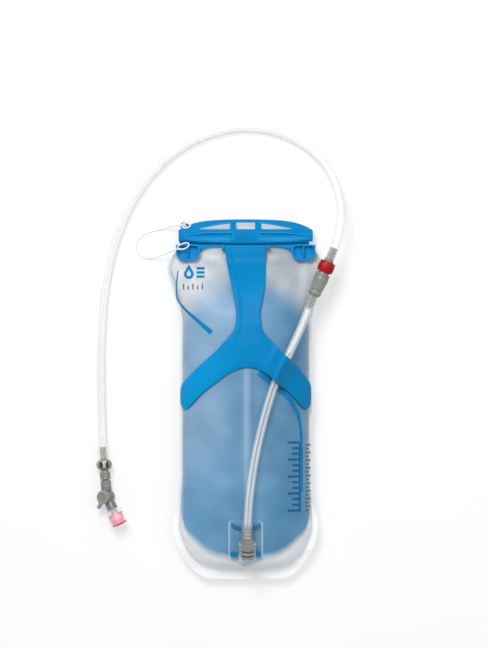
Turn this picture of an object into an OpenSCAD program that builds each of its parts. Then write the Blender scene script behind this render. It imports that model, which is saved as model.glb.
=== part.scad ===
// Hydration bladder: a filled two-film bag with a slide closer, a forked
// tube retainer, a plug-in outlet, a quick coupler and a swivelling bite valve.
// It lies on its back: +X to the right, +Y to the slide closer, +Z up.

/* [Bag] */
// Width of the bag between its straight sides
bag_w = 145; // [138:1:150]
// Height of the filled bag above the surface it lies on
fill_h = 50; // [46:1:50]
// Modelled thickness of each film
film_t = 0.6; // [0.4:0.1:0.6]
// Height of the side weld above the surface
seam_h = 18; // [14:1:20]
// Width of the side weld
weld_w = 3; // [2:0.5:4]

/* [Closure] */
// Length of the slide closer
slider_len = 148; // [144:2:152]
// Depth of the slide closer, front to back
slider_d = 15.5; // [15:0.5:18]
// Thickness of the carrying handle
handle_t = 7; // [5:0.5:8]
// Width of the middle hanging slot
slot_w = 22.4; // [16:0.4:24]

/* [Retainer] */
// Thickness of the forked retainer
yoke_t = 2.8; // [2:0.1:3]
// Radius of the retainer's hinge pin
pin_r = 1.6; // [1.2:0.1:1.6]

/* [Hose] */
// Outer diameter of the hose
hose_od = 9.4; // [8:0.2:9.6]
// Diameter of the tether cord
tether_d = 1.5; // [1:0.1:2]

/* [Outlet] */
// Radius of the bore that the outlet plug slides in
port_r = 7.7; // [7.7:0.05:7.9]
// Tilt of the outlet, following the film
port_tilt = 14; // [13:0.5:15]

/* [Coupler] */
// Radius of the red release collar
collar_r = 8.5; // [8:0.25:9]

/* [Bite valve] */
// Radius of the magnet housing
ball_r = 8.6; // [8:0.1:8.6]
// Roll of the shut-off valve about the hose
valve_roll = 30; // [20:1:35]

/* [Hidden] */
$fn = 48;

blue = [0.0, 0.54, 0.81];
clear_film = [0.80, 0.87, 0.91];
grey = [0.60, 0.61, 0.60];

// Bag outline: [y, half-width] over the weld, and inside it
OUTER = [[-198, 41.5], [-195, 48], [-190, 55.5], [-182, 62.7], [-170, 71], [-157, 76.2],
    [-140, 79.7], [-113, 75.6], [-79, 72.5], [86, 72.5], [99, 74.5], [129, 82],
    [144, 86.4], [148, 85], [160, 79]];
INNER = [[-198, 28], [-187, 28], [-185.5, 38], [-183, 46], [-178, 54], [-170, 61.5],
    [-157, 68.5], [-140, 73], [-113, 71.5], [-79, 69.5], [86, 69.5], [99, 71.5],
    [129, 79], [144, 83.4], [148, 82], [160, 76]];
// Height of the front film along the middle: [y, share of the filled height]
CROWN = [[-187, 0.28], [-185.5, 0.44], [-183, 0.54], [-178, 0.64], [-170, 0.69],
    [-165, 0.72], [-130, 0.894], [-112, 0.97], [-95, 1], [60, 1], [80, 0.97],
    [100, 0.89], [120, 0.74], [135, 0.56], [145, 0.39], [150, 0.28], [154, 0.22],
    [160, 0.188]];
// Height of the side weld: [y, height]
SEAM = [[-198, 13], [-187, 13], [-165, seam_h], [90, seam_h], [120, 14], [145, 9.2],
    [160, 8.7]];
// Height of the back film along the middle: [y, height]
BACK = [[-198, 13], [-187, 13], [-184, 6], [-178, 2], [-170, 0], [125, 0], [140, 2],
    [150, 5], [156, 7.4], [160, 8]];
ROWS = [-198, -193, -187, -185.5, -183, -178, -170, -160, -150, -140, -126, -112, -95,
    -70, -35, 0, 35, 60, 80, 90, 100, 110, 120, 129, 137, 144, 148, 152, 156, 160];
COLS = 8;
film_gap = 0.08;
water_gap = 1.1;
width_scale = bag_w / 145;

function at(t, v, i = 0) =
    v <= t[i][0] || i + 1 >= len(t) ? t[i][1]
    : v <= t[i + 1][0]
    ? t[i][1] + (t[i + 1][1] - t[i][1]) * (v - t[i][0]) / (t[i + 1][0] - t[i][0])
    : at(t, v, i + 1);
function outer_w(y) = at(OUTER, y) * width_scale;
function inner_w(y) = (at(INNER, y) + 3) * width_scale - weld_w;
function seam_z(y) = at(SEAM, y);
function crown_z(y) = max(at(CROWN, y) * fill_h, seam_z(y) + 0.5);
function dome(u) = u >= 1 ? 0 : pow(1 - pow(u, 2.6), 0.556);
function tray(u) = u >= 1 ? 0 : pow(1 - pow(u, 7), 0.5);
function front_z(x, y) = seam_z(y) + film_gap
    + (y <= -187 ? 0 : (crown_z(y) - seam_z(y)) * dome(abs(x) / inner_w(y)));
function back_z(x, y) = max(0, seam_z(y) - film_gap - film_t
    - (seam_z(y) - film_gap - film_t - at(BACK, y) + 0.4) * tray(abs(x) / inner_w(y))
    + (y <= -187 ? 0.4 : 0));
function back_low(x, y) = y <= -187 ? seam_z(y) - film_gap - film_t : back_z(x, y);
function cols(y) = concat([-outer_w(y)],
    [for (j = [-COLS:COLS]) inner_w(y) * sin(90 * j / COLS)], [outer_w(y)]);
function water_cols(y) = [for (j = [-COLS:COLS]) 0.96 * inner_w(y) * sin(90 * j / COLS)];

// A closed solid between an upper and a lower grid of nr rows by nc points
module grid_solid(top, bottom, nr, nc) {
    n = nr * nc;
    faces = concat(
        [for (i = [0:nr - 2], j = [0:nc - 2])
            each [[i * nc + j, (i + 1) * nc + j, (i + 1) * nc + j + 1],
                [i * nc + j, (i + 1) * nc + j + 1, i * nc + j + 1]]],
        [for (i = [0:nr - 2], j = [0:nc - 2])
            each [[n + i * nc + j, n + (i + 1) * nc + j + 1, n + (i + 1) * nc + j],
                [n + i * nc + j, n + i * nc + j + 1, n + (i + 1) * nc + j + 1]]],
        [for (j = [0:nc - 2])
            each [[j, j + 1, n + j + 1], [j, n + j + 1, n + j]]],
        [for (j = [0:nc - 2]) let (k = (nr - 1) * nc + j)
            each [[k, n + k, n + k + 1], [k, n + k + 1, k + 1]]],
        [for (i = [0:nr - 2]) let (k = i * nc)
            each [[k, n + k, n + k + nc], [k, n + k + nc, k + nc]]],
        [for (i = [0:nr - 2]) let (k = i * nc + nc - 1)
            each [[k, k + nc, n + k + nc], [k, n + k + nc, n + k]]]);
    polyhedron(points = concat(top, bottom), faces = faces, convexity = 6);
}

// A smooth curve through hand-set points, then a round tube swept along it
function pick(p, i) = p[max(0, min(len(p) - 1, i))];
function curve_pt(p, i, f) = let (a = pick(p, i - 1), b = pick(p, i), c = pick(p, i + 1),
        d = pick(p, i + 2))
    0.5 * (2 * b + (c - a) * f + (2 * a - 5 * b + 4 * c - d) * f * f
    + (3 * b - a - 3 * c + d) * f * f * f);
function curve(p, k) = concat(
    [for (i = [0:len(p) - 2], j = [0:k - 1]) curve_pt(p, i, j / k)], [p[len(p) - 1]]);
function unit(v) = v / norm(v);
function tangent(p, i) = unit(pick(p, i + 1) - pick(p, i - 1));
function ring(c, t, r, s) = let (a = unit(cross(t, [0, 0, 1])), b = cross(a, t))
    [for (k = [0:s - 1]) c + r * (cos(360 * k / s) * a + sin(360 * k / s) * b)];
module swept_tube(path, r, s) {
    n = len(path);
    pts = [for (i = [0:n - 1]) each ring(path[i], tangent(path, i), r, s)];
    faces = concat(
        [for (i = [0:n - 2], k = [0:s - 1]) let (q = (k + 1) % s)
            each [[i * s + k, i * s + q, (i + 1) * s + q],
                [i * s + k, (i + 1) * s + q, (i + 1) * s + k]]],
        [[for (k = [0:s - 1]) s - 1 - k]],
        [[for (k = [0:s - 1]) (n - 1) * s + k]]);
    polyhedron(points = pts, faces = faces, convexity = 8);
}

// A rectangular plate with rounded corners, from z = 0
module plate(w, l, h, r) {
    translate([-w / 2 + r, -l / 2, 0]) cube([w - 2 * r, l, h]);
    translate([-w / 2, -l / 2 + r, 0]) cube([w, l - 2 * r, h]);
    for (x = [-1, 1], y = [-1, 1])
        translate([x * (w / 2 - r), y * (l / 2 - r), 0]) cylinder(r = r, h = h);
}

// ---- Bag ----
module front_panel() {
    color(clear_film, 0.6)
    grid_solid(
        [for (y = ROWS) each [for (x = cols(y)) [x, y, front_z(x, y) + film_t]]],
        [for (y = ROWS) each [for (x = cols(y)) [x, y, front_z(x, y)]]],
        len(ROWS), 2 * COLS + 3);
}

module back_panel() {
    color(clear_film, 0.6)
    grid_solid(
        [for (y = ROWS) each [for (x = cols(y)) [x, y, back_low(x, y) + film_t]]],
        [for (y = ROWS) each [for (x = cols(y)) [x, y, back_low(x, y)]]],
        len(ROWS), 2 * COLS + 3);
}

// Middle web that ties the two films together
baffle_y0 = -95;
baffle_y1 = 60;
baffle_w = 6.5;
web_t = 0.8;
web_clear = 0.3;
WATER_ROWS = [for (y = ROWS) if (y > -186 && y < 130) y];
module water_charge() {
    color([0.35, 0.60, 0.80], 0.8)
    difference() {
        grid_solid(
            [for (y = WATER_ROWS) each [for (x = water_cols(y))
                [x, y, max(front_z(x, y) - water_gap, seam_z(y) + 0.3)]]],
            [for (y = WATER_ROWS) each [for (x = water_cols(y))
                [x, y, min(back_low(x, y) + film_t + water_gap, seam_z(y) - 0.3)]]],
            len(WATER_ROWS), 2 * COLS + 1);
        translate([-web_t / 2 - web_clear, baffle_y0 - 0.4, -1])
            cube([web_t + 2 * web_clear, baffle_y1 - baffle_y0 + 0.8, fill_h + 2]);
        translate([-baffle_w / 2 - web_clear, baffle_y0 - 0.4, fill_h - 1.4])
            cube([baffle_w + 2 * web_clear, baffle_y1 - baffle_y0 + 0.8, 3]);
    }
}

module centre_baffle() {
    web_z = film_t + 0.1;
    color("white") {
        translate([-web_t / 2, baffle_y0, web_z])
            cube([web_t, baffle_y1 - baffle_y0, fill_h - web_z - 0.4]);
        translate([-baffle_w / 2, baffle_y0, fill_h - 0.9])
            cube([baffle_w, baffle_y1 - baffle_y0, 0.5]);
    }
}

// ---- Closure ----
fold_z = 8;
fold_t = 1.5;
head_y0 = 174;
head_y1 = 183;
head_x0 = -73;
head_x1 = 70;
head_z0 = 3.6;
head_z1 = 13;
lip_y = 170;
wall_y = 168.2;
// Lower edge of the front strip, from a lobe to the middle
STRIP_LOW = [[50.4, 150], [50.4, 161], [49, 163.4], [46, 165.4], [41, 166.9], [33, 167.8],
    [20, 168.4]];
slot_clear = 0.5;

// Four film layers of the folded mouth, gripped by the rail
module mouth_fold() {
    color(clear_film, 0.6)
    translate([-71.5, 160.2, fold_z]) cube([140, 21, fold_t]);
}

// One cupped finger lobe of the rail, with its lip and its ridge
lobe_z = 12.6;
module lobe() {
    difference() {
        translate([0, 0, lobe_z]) lobe_outline(0, 6.8);
        translate([0, 0, lobe_z + 2]) lobe_outline(2.2, 6);
    }
    translate([-0.9, -6.5, lobe_z + 1]) cube([1.8, 14.5, 5.2]);
}
module lobe_outline(inset, h) {
    intersection() {
        union() {
            translate([-4, 0, 0]) cylinder(r = 9.2 - inset, h = h);
            translate([4, 0, 0]) cylinder(r = 9.2 - inset, h = h);
            translate([-4, -9.2 + inset, 0]) cube([8, 18.4 - 2 * inset, h]);
            translate([-13.2 + inset, 0, 0]) cube([26.4 - 2 * inset, 4.8, h]);
            translate([-9.6, 0, 0]) cube([19.2, 12, h]);
            for (s = [-1, 1]) translate([9.6 * s, 4.8, 0]) cylinder(r = 3.6 - inset, h = h);
        }
        translate([-20, -20, -1]) cube([40, 20 + 8.4 - inset * 0.7, h + 2]);
    }
}

pin_y = 167.4;
pin_z = 15.6;
lug_x = 23;
lug_w = 3.4;
pin_clear = 0.3;
module closure_rail() {
    color(blue)
    difference() {
        union() {
            // Head that the slide closer runs on
            translate([head_x0, head_y0, head_z0])
                cube([head_x1 - head_x0, head_y1 - head_y0, head_z1 - head_z0]);
            // Two thin walls either side of the folded film
            translate([head_x0, wall_y, fold_z - 1])
                cube([head_x1 - head_x0, head_y0 - wall_y + 1, fold_t + 2]);
            // Front strip below the slide closer
            difference() {
                translate([-77, 161.6, fold_z + fold_t + 0.5]) cube([154, lip_y - 161.6, 3.4]);
                translate([0, 0, 5]) linear_extrude(height = 12) polygon(concat(
                    [for (p = STRIP_LOW) [-p[0], p[1]]],
                    [for (i = [len(STRIP_LOW) - 1:-1:0]) STRIP_LOW[i]]));
            }
            for (s = [-1, 1]) translate([63.6 * s, 161.6, 0]) lobe();
            // Lugs that carry the retainer's hinge pin
            for (s = [-1, 1])
                translate([s * (lug_x + lug_w / 2) - lug_w / 2, 164.8, 11]) cube([lug_w, 5.2, 7.6]);
        }
        translate([-71.7, 159, fold_z - 0.05]) cube([140.4, 22.5, fold_t + 0.1]);
        translate([-30, pin_y, pin_z]) rotate([0, 90, 0])
            cylinder(r = pin_r + pin_clear, h = 60);
        // Eye for the tether in the left lobe
        translate([-70.5, 165.5, lobe_z - 1]) cylinder(r = 1.7, h = 12);
    }
}

slider_z = 0.6;
slider_base_y = 170.4;
slider_body_y = 185;
handle_y = 198;
half_l = slider_len / 2;
function slider_low(x) = slider_base_y + 3.7 * pow(x / half_l, 2);
function slider_top(x) = let (u = abs(x) / half_l) handle_y - 3 * pow(u, 2) - 9 * pow(u, 5);
SLX = [for (i = [-12:12]) half_l * i / 12];
module slider_outline(h, top_y, inset = 0) {
    linear_extrude(height = h) polygon(concat(
        [for (x = SLX) [x * (1 - inset / half_l), slider_low(x) + inset]],
        [for (i = [0:24]) let (x = SLX[24 - i])
            [x * (1 - inset / half_l), min(top_y, slider_top(x)) - inset]]));
}
module side_window(s) {
    linear_extrude(height = 40) polygon([[s * 17.5, 187.4], [s * 17.5, 193.6],
        [s * 26, 192.6], [s * 36, 190.8], [s * 50, 188], [s * 50, 187.4]]);
}
module slider() {
    handle_z = slider_z + (slider_d - handle_t) / 2 + 1;
    color(blue)
    difference() {
        union() {
            translate([0, 0, slider_z]) slider_outline(slider_d - 1.4, slider_body_y);
            translate([0, 0, slider_z + 1]) slider_outline(slider_d - 1, slider_body_y - 1, 1.3);
            translate([0, 0, handle_z]) slider_outline(handle_t, 240);
            // Eye for the tether at the left end
            translate([-67.5, 190.6, handle_z]) cylinder(r = 4.6, h = handle_t - 1.5);
            // Grip ribs in the middle
            for (i = [-3:3]) translate([i * 3 - 0.8, 175.2, slider_z + 12])
                cube([1.6, 5.6, slider_d - 11.2]);
        }
        // Channel for the rail's head, open at the left end
        translate([-half_l - 1, head_y0 - slot_clear, head_z0 - slot_clear])
            cube([half_l + 1 + head_x1 + slot_clear, head_y1 - head_y0 + 2 * slot_clear,
                head_z1 - head_z0 + 2 * slot_clear]);
        translate([-half_l - 1, 165, fold_z - 1 - slot_clear])
            cube([half_l + 1 + head_x1 + slot_clear, 12, fold_t + 2 + 2 * slot_clear]);
        // Hanging slot and side windows
        translate([-slot_w / 2, 187.4, -1]) cube([slot_w, 7.2, 40]);
        for (s = [-1, 1]) side_window(s);
        translate([-67.5, 190.6, -1]) cylinder(r = 2.3, h = 40);
        // Shallow finger panels in the front face
        for (s = [-1, 1]) translate([0, 0, slider_z + slider_d - 0.7])
            linear_extrude(height = 5) polygon([[s * 15, 176.2], [s * 34, 175.6],
                [s * 64, 177.6], [s * 67, 180.5], [s * 40, 182.4], [s * 15, 182.6]]);
    }
}

// Tether cord from the closer's eye round to the rail's left lobe
TETHER = [[-67.5, 190.6, 8.5], [-67.7, 190.6, 12], [-70, 191, 14.6], [-75, 191.5, 13.6],
    [-84, 190, 7], [-93, 187.5, 2.2], [-102, 185.5, 0.9], [-112, 181.5, 0.9],
    [-119, 175, 0.9], [-121, 167, 0.9], [-118, 160, 0.9], [-112, 156, 1.2],
    [-103, 155.5, 3.5], [-94, 158, 8.5], [-86, 161, 14.5], [-79, 163.5, 20.6],
    [-74.5, 165, 22], [-71.2, 165.5, 20.4], [-70.5, 165.5, 16.6]];
module slider_tether() {
    color("white") swept_tube(TETHER, tether_d / 2, 8);
}

// ---- Forked retainer ----
// Right half of the outline, from the top of the stem round to the fork
STEM = [[22.4, 169], [22.6, 164], [21.6, 150], [19.3, 131], [15.5, 109], [13.4, 95],
    [13.9, 85], [15.5, 77], [19.4, 71], [26.6, 63], [34.7, 54]];
ARM = [[34.7, 54], [49, 41], [58, 32], [66, 23], [70.4, 17], [71.8, 10], [71.9, 0],
    [71.6, -4], [69.6, -9], [66, -11], [62, -8.5], [48, 6.5], [35, 17], [23, 27],
    [13, 32], [5.4, 34.4], [0, 34.8]];
EDGE = concat(curve(STEM, 2), curve(ARM, 3));
module yoke_outline(h) {
    n = len(EDGE);
    linear_extrude(height = h) polygon(concat(EDGE,
        [for (i = [1:n - 1]) let (p = EDGE[n - 1 - i]) if (p[0] > 0.01) [-p[0], p[1]]]));
}
// Underside of the stem along Y, and of the arms along X
STEM_Y = [170, 160, 152, 148, 145, 140, 135, 127, 120, 110, 100, 90, 80, 70, 60, 45];
function stem_low(y) = max(crown_z(y) + film_t + 0.5, pin_z - yoke_t / 2);
function arm_low(x) = at(ARM_LOW, x) + fill_h - 50;
ARM_LOW = [[-74, 20], [-72, 23.5], [-68, 28.5], [-64, 33], [-58, 39], [-50, 43.8],
    [-42, 46.6], [-35, 48.4], [-20, 50.8], [0, 51.3], [15, 51.3], [20, 54.5],
    [24.5, 60.2], [29, 62.2], [34, 61.9], [40, 60.4], [46, 58], [50, 55], [54, 49.5],
    [60, 41], [66, 31.5], [70, 26], [74, 20]];
crease = 6.5;
module stem_band(lift, t) {
    low = [for (y = STEM_Y) [y, stem_low(y) + lift]];
    rotate([90, 0, 90]) translate([0, 0, -40]) linear_extrude(height = 80)
        polygon(concat(low, [for (i = [len(low) - 1:-1:0]) low[i] + [0, t]]));
}
module arm_band(lift, t) {
    low = [for (p = ARM_LOW) [p[0], arm_low(p[0]) + lift]];
    rotate([90, 0, 0]) translate([0, 0, -70]) linear_extrude(height = 90)
        polygon(concat(low, [for (i = [len(low) - 1:-1:0]) low[i] + [0, t]]));
}
module yoke() {
    color(blue)
    difference() {
        union() {
            intersection() {
                yoke_outline(90);
                stem_band(0, yoke_t);
                translate([-40, 50, 0]) cube([80, pin_y - 50, 90]);
                union() {
                    translate([-40, 66, 0]) cube([80, 110, 90]);
                    translate([-20, 40, 0]) cube([40, 30, 90]);
                }
            }
            intersection() {
                yoke_outline(90);
                arm_band(0, yoke_t);
                translate([-80, -20, 0]) cube([160, 86.2, 90]);
            }
            // Hinge pin
            translate([-lug_x - lug_w, pin_y, pin_z]) rotate([0, 90, 0])
                cylinder(r = pin_r, h = 2 * (lug_x + lug_w));
        }
        // Sunk middle panel of the stem
        intersection() {
            linear_extrude(height = 90) polygon([[-16.2, 165.4], [16.2, 165.4], [13.6, 142],
                [9.5, 112], [7.6, 95], [7.6, 84], [-7.6, 84], [-7.6, 95], [-9.5, 112],
                [-13.6, 142]]);
            stem_band(yoke_t - 0.7, 3);
        }
    }
}

// ---- Outlet ----
port_x = 2;
port_y = -153;
axis_h = 10;
module on_port() {
    translate([0, port_y, front_z(0, port_y) + film_t + 0.35]) rotate([port_tilt, 0, 0])
        children();
}
// Along the plug's axis, away from the bag's foot
module along_port() {
    on_port() translate([port_x, 0, axis_h]) rotate([-90, 0, 0]) children();
}
module outlet_base() {
    color(clear_film, 0.6) on_port()
    difference() {
        plate(38, 43, 2, 4);
        translate([0, 0, 1.3]) plate(34.4, 39.4, 2, 3);
    }
}
module outlet_socket() {
    color(clear_film, 0.6)
    difference() {
        union() {
            along_port() translate([0, 0, -20]) cylinder(r = port_r + 1.6, h = 19);
            along_port() translate([0, 0, -3.2]) cylinder(r = port_r + 2.1, h = 2.2);
            on_port() translate([port_x - 7, -20, 1.32]) cube([14, 19, 4]);
        }
        along_port() translate([0, 0, -18.4]) cylinder(r = port_r, h = 30);
        along_port() translate([0, 0, -30]) cylinder(r = 3, h = 30);
    }
}
// Blue locking strips beside the socket; the upper two are parts of one ring
clip_r = 29.1;
clip_y = 40.8;
module outlet_clips() {
    color(blue) on_port() {
        for (c = [[-13, 8], [13.4, 7.2]])
            translate([c[0], -16.4, 1.32]) plate(c[1], 4.6, 3, 1.4);
        for (x = [-15.6, 5.4]) intersection() {
            translate([0.5, clip_y, 1.32]) difference() {
                cylinder(r = clip_r, h = 2.4);
                translate([0, 0, -1]) cylinder(r = clip_r - 2.2, h = 5);
            }
            translate([x, 10, 1]) cube([10.2, 9, 4]);
        }
    }
}
module barb(r_rib, r_core, l, n) {
    cylinder(r = r_core, h = l);
    for (i = [0:n - 1]) translate([0, 0, l * (i + 0.25) / n])
        rotate_extrude() polygon([[0, 0], [r_rib, 0], [r_core, l / n * 0.62], [0, l / n * 0.62]]);
}
module outlet_plug() {
    color(grey) along_port()
    difference() {
        union() {
            difference() {
                translate([0, 0, -18]) cylinder(r = port_r - 0.25, h = 17.5);
                for (z = [-15, -10]) translate([0, 0, z]) rotate_extrude()
                    translate([port_r - 0.95, -1]) square([3, 2]);
            }
            translate([0, 0, -0.5]) cylinder(r = 8.3, h = 2.2);
            translate([0, 0, 1.7]) cylinder(r = 6.6, h = 1.6);
            translate([0, 0, 3.3]) barb(5.2, 4, 16, 4);
        }
        translate([0, 0, -30]) cylinder(r = 2.6, h = 60);
    }
}
module outlet_o_rings() {
    color([0.12, 0.12, 0.12]) along_port()
    for (z = [-15, -10]) translate([0, 0, z]) rotate_extrude()
        translate([port_r - 0.85, 0]) intersection() {
            circle(r = 0.8);
            translate([-0.08, -1]) square([3, 2]);
        }
}

// ---- Hose ----
LOWER = [[2, -152.4, 50.2], [2, -146.5, 51.7], [2.2, -136, 54.2], [3.5, -112, 57.8],
    [7, -84, 58], [11.8, -56, 57], [18.2, -28, 55.8], [25.4, -2, 54.8],
    [34, 22.5, 53.6], [47.5, 50.5, 50], [58.5, 74, 43], [64.4, 88, 37.6],
    [68.6, 98.6, 34.3], [72, 107.6, 33.3], [74.8, 114.1, 33.2]];
module lower_tube() {
    color(clear_film, 0.5) swept_tube(LOWER, hose_od / 2, 12);
}

// ---- Quick coupler ----
qd = [74.8, 114.2, 33.2];
qd_turn = 23.5;
module along_coupler() {
    translate(qd) rotate([-90, 0, -qd_turn]) children();
}
module coupler_body() {
    color(grey) along_coupler()
    difference() {
        union() {
            rotate([180, 0, 0]) barb(5, 3.8, 15, 4);
            cylinder(r = 6.2, h = 6.2);
            translate([0, 0, 1.6]) cylinder(r = 6.9, h = 3.2);
            translate([0, 0, 6]) cylinder(r1 = 6.8, r2 = 8.2, h = 12);
            translate([0, 0, 18]) cylinder(r = 8.2, h = 7.6);
            translate([0, 0, 25.4]) cylinder(r = 6, h = 12.8);
        }
        translate([0, 0, 22.2]) rotate_extrude() translate([7.7, 0]) square([3, 1.2]);
        translate([0, 0, 12]) cylinder(r = 4.3, h = 40);
        translate([0, 0, -30]) cylinder(r = 2.4, h = 60);
    }
}
module coupler_collar() {
    color([0.80, 0.10, 0.10]) along_coupler() translate([0, 0, 27.9])
    difference() {
        union() {
            cylinder(r = collar_r, h = 11.8);
            for (a = [0:20:340]) rotate([0, 0, a]) translate([collar_r - 0.3, -0.6, 2.4])
                cube([0.75, 1.2, 6.6]);
        }
        translate([0, 0, -1]) cylinder(r = 6.3, h = 20);
    }
}
module coupler_plug() {
    color(grey) along_coupler()
    difference() {
        union() {
            translate([0, 0, 13.4]) cylinder(r = 4, h = 4.1);
            translate([0, 0, 17.4]) cylinder(r = 3.3, h = 1.8);
            translate([0, 0, 19.2]) cylinder(r = 4, h = 20.8);
            translate([0, 0, 39.9]) cylinder(r = 5.5, h = 2.3);
            translate([0, 0, 42.2]) barb(5, 3.8, 14.4, 4);
        }
        translate([0, 0, 5]) cylinder(r = 2.4, h = 60);
    }
}
module coupler_o_ring() {
    color([0.12, 0.12, 0.12]) along_coupler() translate([0, 0, 18.3]) rotate_extrude()
        translate([3.75, 0]) intersection() {
            circle(r = 0.45);
            translate([-0.4, -1]) square([3, 2]);
        }
}

UPPER = [[91.8, 153.2, 33.2], [96.3, 164, 33.2], [100.4, 175, 33], [104, 192, 31.6],
    [104.6, 211, 28], [100.6, 231, 22.6], [92.4, 250.5, 16.6], [79, 268, 11.4],
    [58, 283.6, 7.4], [34, 293.6, 5.3], [12, 298, 4.8], [-11, 298, 4.8],
    [-34, 293, 4.8], [-56, 284.5, 4.8], [-77, 272, 4.8], [-96, 255.5, 4.8],
    [-112, 236.5, 4.8], [-125.6, 215, 4.8], [-136.4, 192, 4.8], [-145, 168, 4.8],
    [-151, 142, 4.8], [-155.4, 115, 4.8], [-157.8, 88, 4.8], [-159, 62, 4.8],
    [-159.3, 36, 4.8], [-159.2, 12, 4.8], [-158.8, -12, 5.2], [-158, -32, 6.4],
    [-157.5, -48, 8], [-157, -58, 8.6], [-156.6, -65.6, 8.7]];
module upper_tube() {
    color(clear_film, 0.5) swept_tube(UPPER, hose_od / 2, 12);
}

// ---- Magnet and bite valve ----
// Along the valve's inlet axis, away from the hose
valve_lean = 5;
module along_valve() {
    translate([-156.6, -66, 8.7]) rotate([0, 0, valve_lean]) rotate([90, 0, 0]) children();
}
module hose_barb() {
    color(grey) along_valve()
    difference() {
        union() {
            translate([0, 0, -13]) cylinder(r = 3.4, h = 38);
            translate([0, 0, 12.8]) cylinder(r = 4.2, h = 2);
            translate([0, 0, 14.6]) cylinder(r = 5.9, h = 8);
            translate([0, 0, 22.5]) cylinder(r = 4.2, h = 1);
            translate([0, 0, 24.8]) cylinder(r = 3.9, h = 1.6);
        }
        for (z = [16.4, 18.3, 20.2]) translate([0, 0, z]) rotate_extrude()
            translate([5.4, 0]) square([3, 0.7]);
        translate([0, 0, -20]) cylinder(r = 2.3, h = 60);
    }
}
module magnet_housing() {
    color(grey) along_valve()
    difference() {
        translate([0, 0, 0.3]) rotate_extrude() intersection() {
            translate([ball_r - 6.2, 6.2]) circle(r = 6.2);
            square([ball_r, 12.4]);
        }
        translate([0, 0, -10]) cylinder(r = 3.55, h = 40);
        translate([-5, 4.6, 3]) cube([10, 10, 7]);
    }
}
module magnet() {
    color([0.75, 0.76, 0.78]) along_valve()
        translate([-4.8, 4.7, 3.2]) cube([9.6, 2.6, 6.6]);
}
module swivel_sleeve() {
    color(grey) along_valve()
    difference() {
        translate([0, 0, 23.9]) cylinder(r = 5.9, h = 7.6);
        translate([0, 0, 20]) cylinder(r = 3.75, h = 20);
        translate([0, 0, 24.6]) cylinder(r = 4.3, h = 2.1);
        for (z = [25.8, 28.4]) translate([0, 0, z]) rotate_extrude()
            translate([5.3, 0]) square([3, 0.9]);
    }
}

// Turret axis, bore and outlet arm of the shut-off valve
turret_t = 42;
turret_r = 7;
barrel_r = 4.6;
arm_turn = 23.4;
lever_turn = 149;
module on_turret() {
    along_valve() rotate([0, 0, valve_roll]) translate([0, 0, turret_t]) children();
}
module up_turret() {
    on_turret() rotate([-90, 0, 0]) children();
}
module along_arm() {
    on_turret() rotate([0, arm_turn, 0]) children();
}
module valve_body() {
    color(grey)
    difference() {
        union() {
            up_turret() translate([0, 0, -5]) cylinder(r = turret_r, h = 11);
            along_valve() translate([0, 0, 31.6]) cylinder(r = 5.7, h = 3.8);
            along_valve() translate([0, 0, 35.2]) cylinder(r = 4.8, h = 5);
            along_arm() translate([0, 0, 4]) cylinder(r1 = 5.2, r2 = 6, h = 11.6);
            along_arm() translate([0, 0, 15.4]) cylinder(r = 3.6, h = 5.8);
        }
        up_turret() translate([0, 0, -3.6]) cylinder(r = barrel_r + 0.2, h = 20);
        along_valve() translate([0, 0, 25]) cylinder(r = 2.2, h = 16);
        along_arm() cylinder(r = 2.2, h = 30);
    }
}
module shutoff_barrel() {
    color([0.45, 0.46, 0.47])
    difference() {
        up_turret() translate([0, 0, -3.4]) cylinder(r = barrel_r, h = 9.6);
        // Bent flow passage, open in the rest pose
        on_turret() rotate([0, 180, 0]) cylinder(r = 2.1, h = 12);
        along_arm() cylinder(r = 1.9, h = 12);
        on_turret() sphere(r = 2.4);
    }
}
module shutoff_dial() {
    color(grey) up_turret() {
        difference() {
            union() {
                translate([0, 0, 6.25]) cylinder(r = 7.6, h = 3.2);
                translate([0, 0, 9.4]) cylinder(r1 = 7.6, r2 = 6.6, h = 1.2);
                // Lever from the rim
                rotate([0, 0, lever_turn]) {
                    translate([-1.7, 3, 6.6]) cube([3.4, 9.6, 2.8]);
                    translate([0, 12.6, 6.6]) cylinder(r = 1.7, h = 2.8);
                }
            }
            translate([0, 0, 9.6]) cylinder(r = 4.6, h = 3);
        }
        translate([-0.9, -4, 9.2]) cube([1.8, 8, 1.7]);
    }
}
// Two red bands of the mouthpiece, held inside the clear sheath
module bite_ring() {
    color([0.82, 0.12, 0.16]) along_arm()
    difference() {
        union() {
            translate([0, 0, 21.6]) cylinder(r = 8.2, h = 1.7);
            translate([0, 0, 32.2]) cylinder(r = 8.2, h = 1.2);
        }
        translate([0, 0, 10]) cylinder(r = 3.8, h = 20);
        translate([0, 0, 31]) cylinder(r = 6.4, h = 5);
    }
}
module bite_core() {
    color([0.93, 0.35, 0.42]) along_arm()
    difference() {
        union() {
            translate([0, 0, 23.4]) cylinder(r = 7.4, h = 5.2);
            translate([0, 0, 28.6]) cylinder(r1 = 7.4, r2 = 5, h = 3.6);
        }
        translate([0, 0, 20]) cylinder(r = 3.8, h = 6);
        translate([-5, -0.3, 25]) cube([10, 0.6, 20]);
    }
}
module bite_sheath() {
    color(clear_film, 0.5) along_arm()
    difference() {
        union() {
            translate([0, 0, 15.8]) cylinder(r1 = 7.4, r2 = 9.1, h = 3.2);
            translate([0, 0, 19]) cylinder(r = 9.1, h = 13);
            translate([0, 0, 32]) cylinder(r1 = 9.1, r2 = 8.7, h = 1.8);
        }
        translate([0, 0, 15]) cylinder(r = 6.3, h = 3.2);
        translate([0, 0, 18]) cylinder(r = 8.3, h = 20);
    }
}

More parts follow.
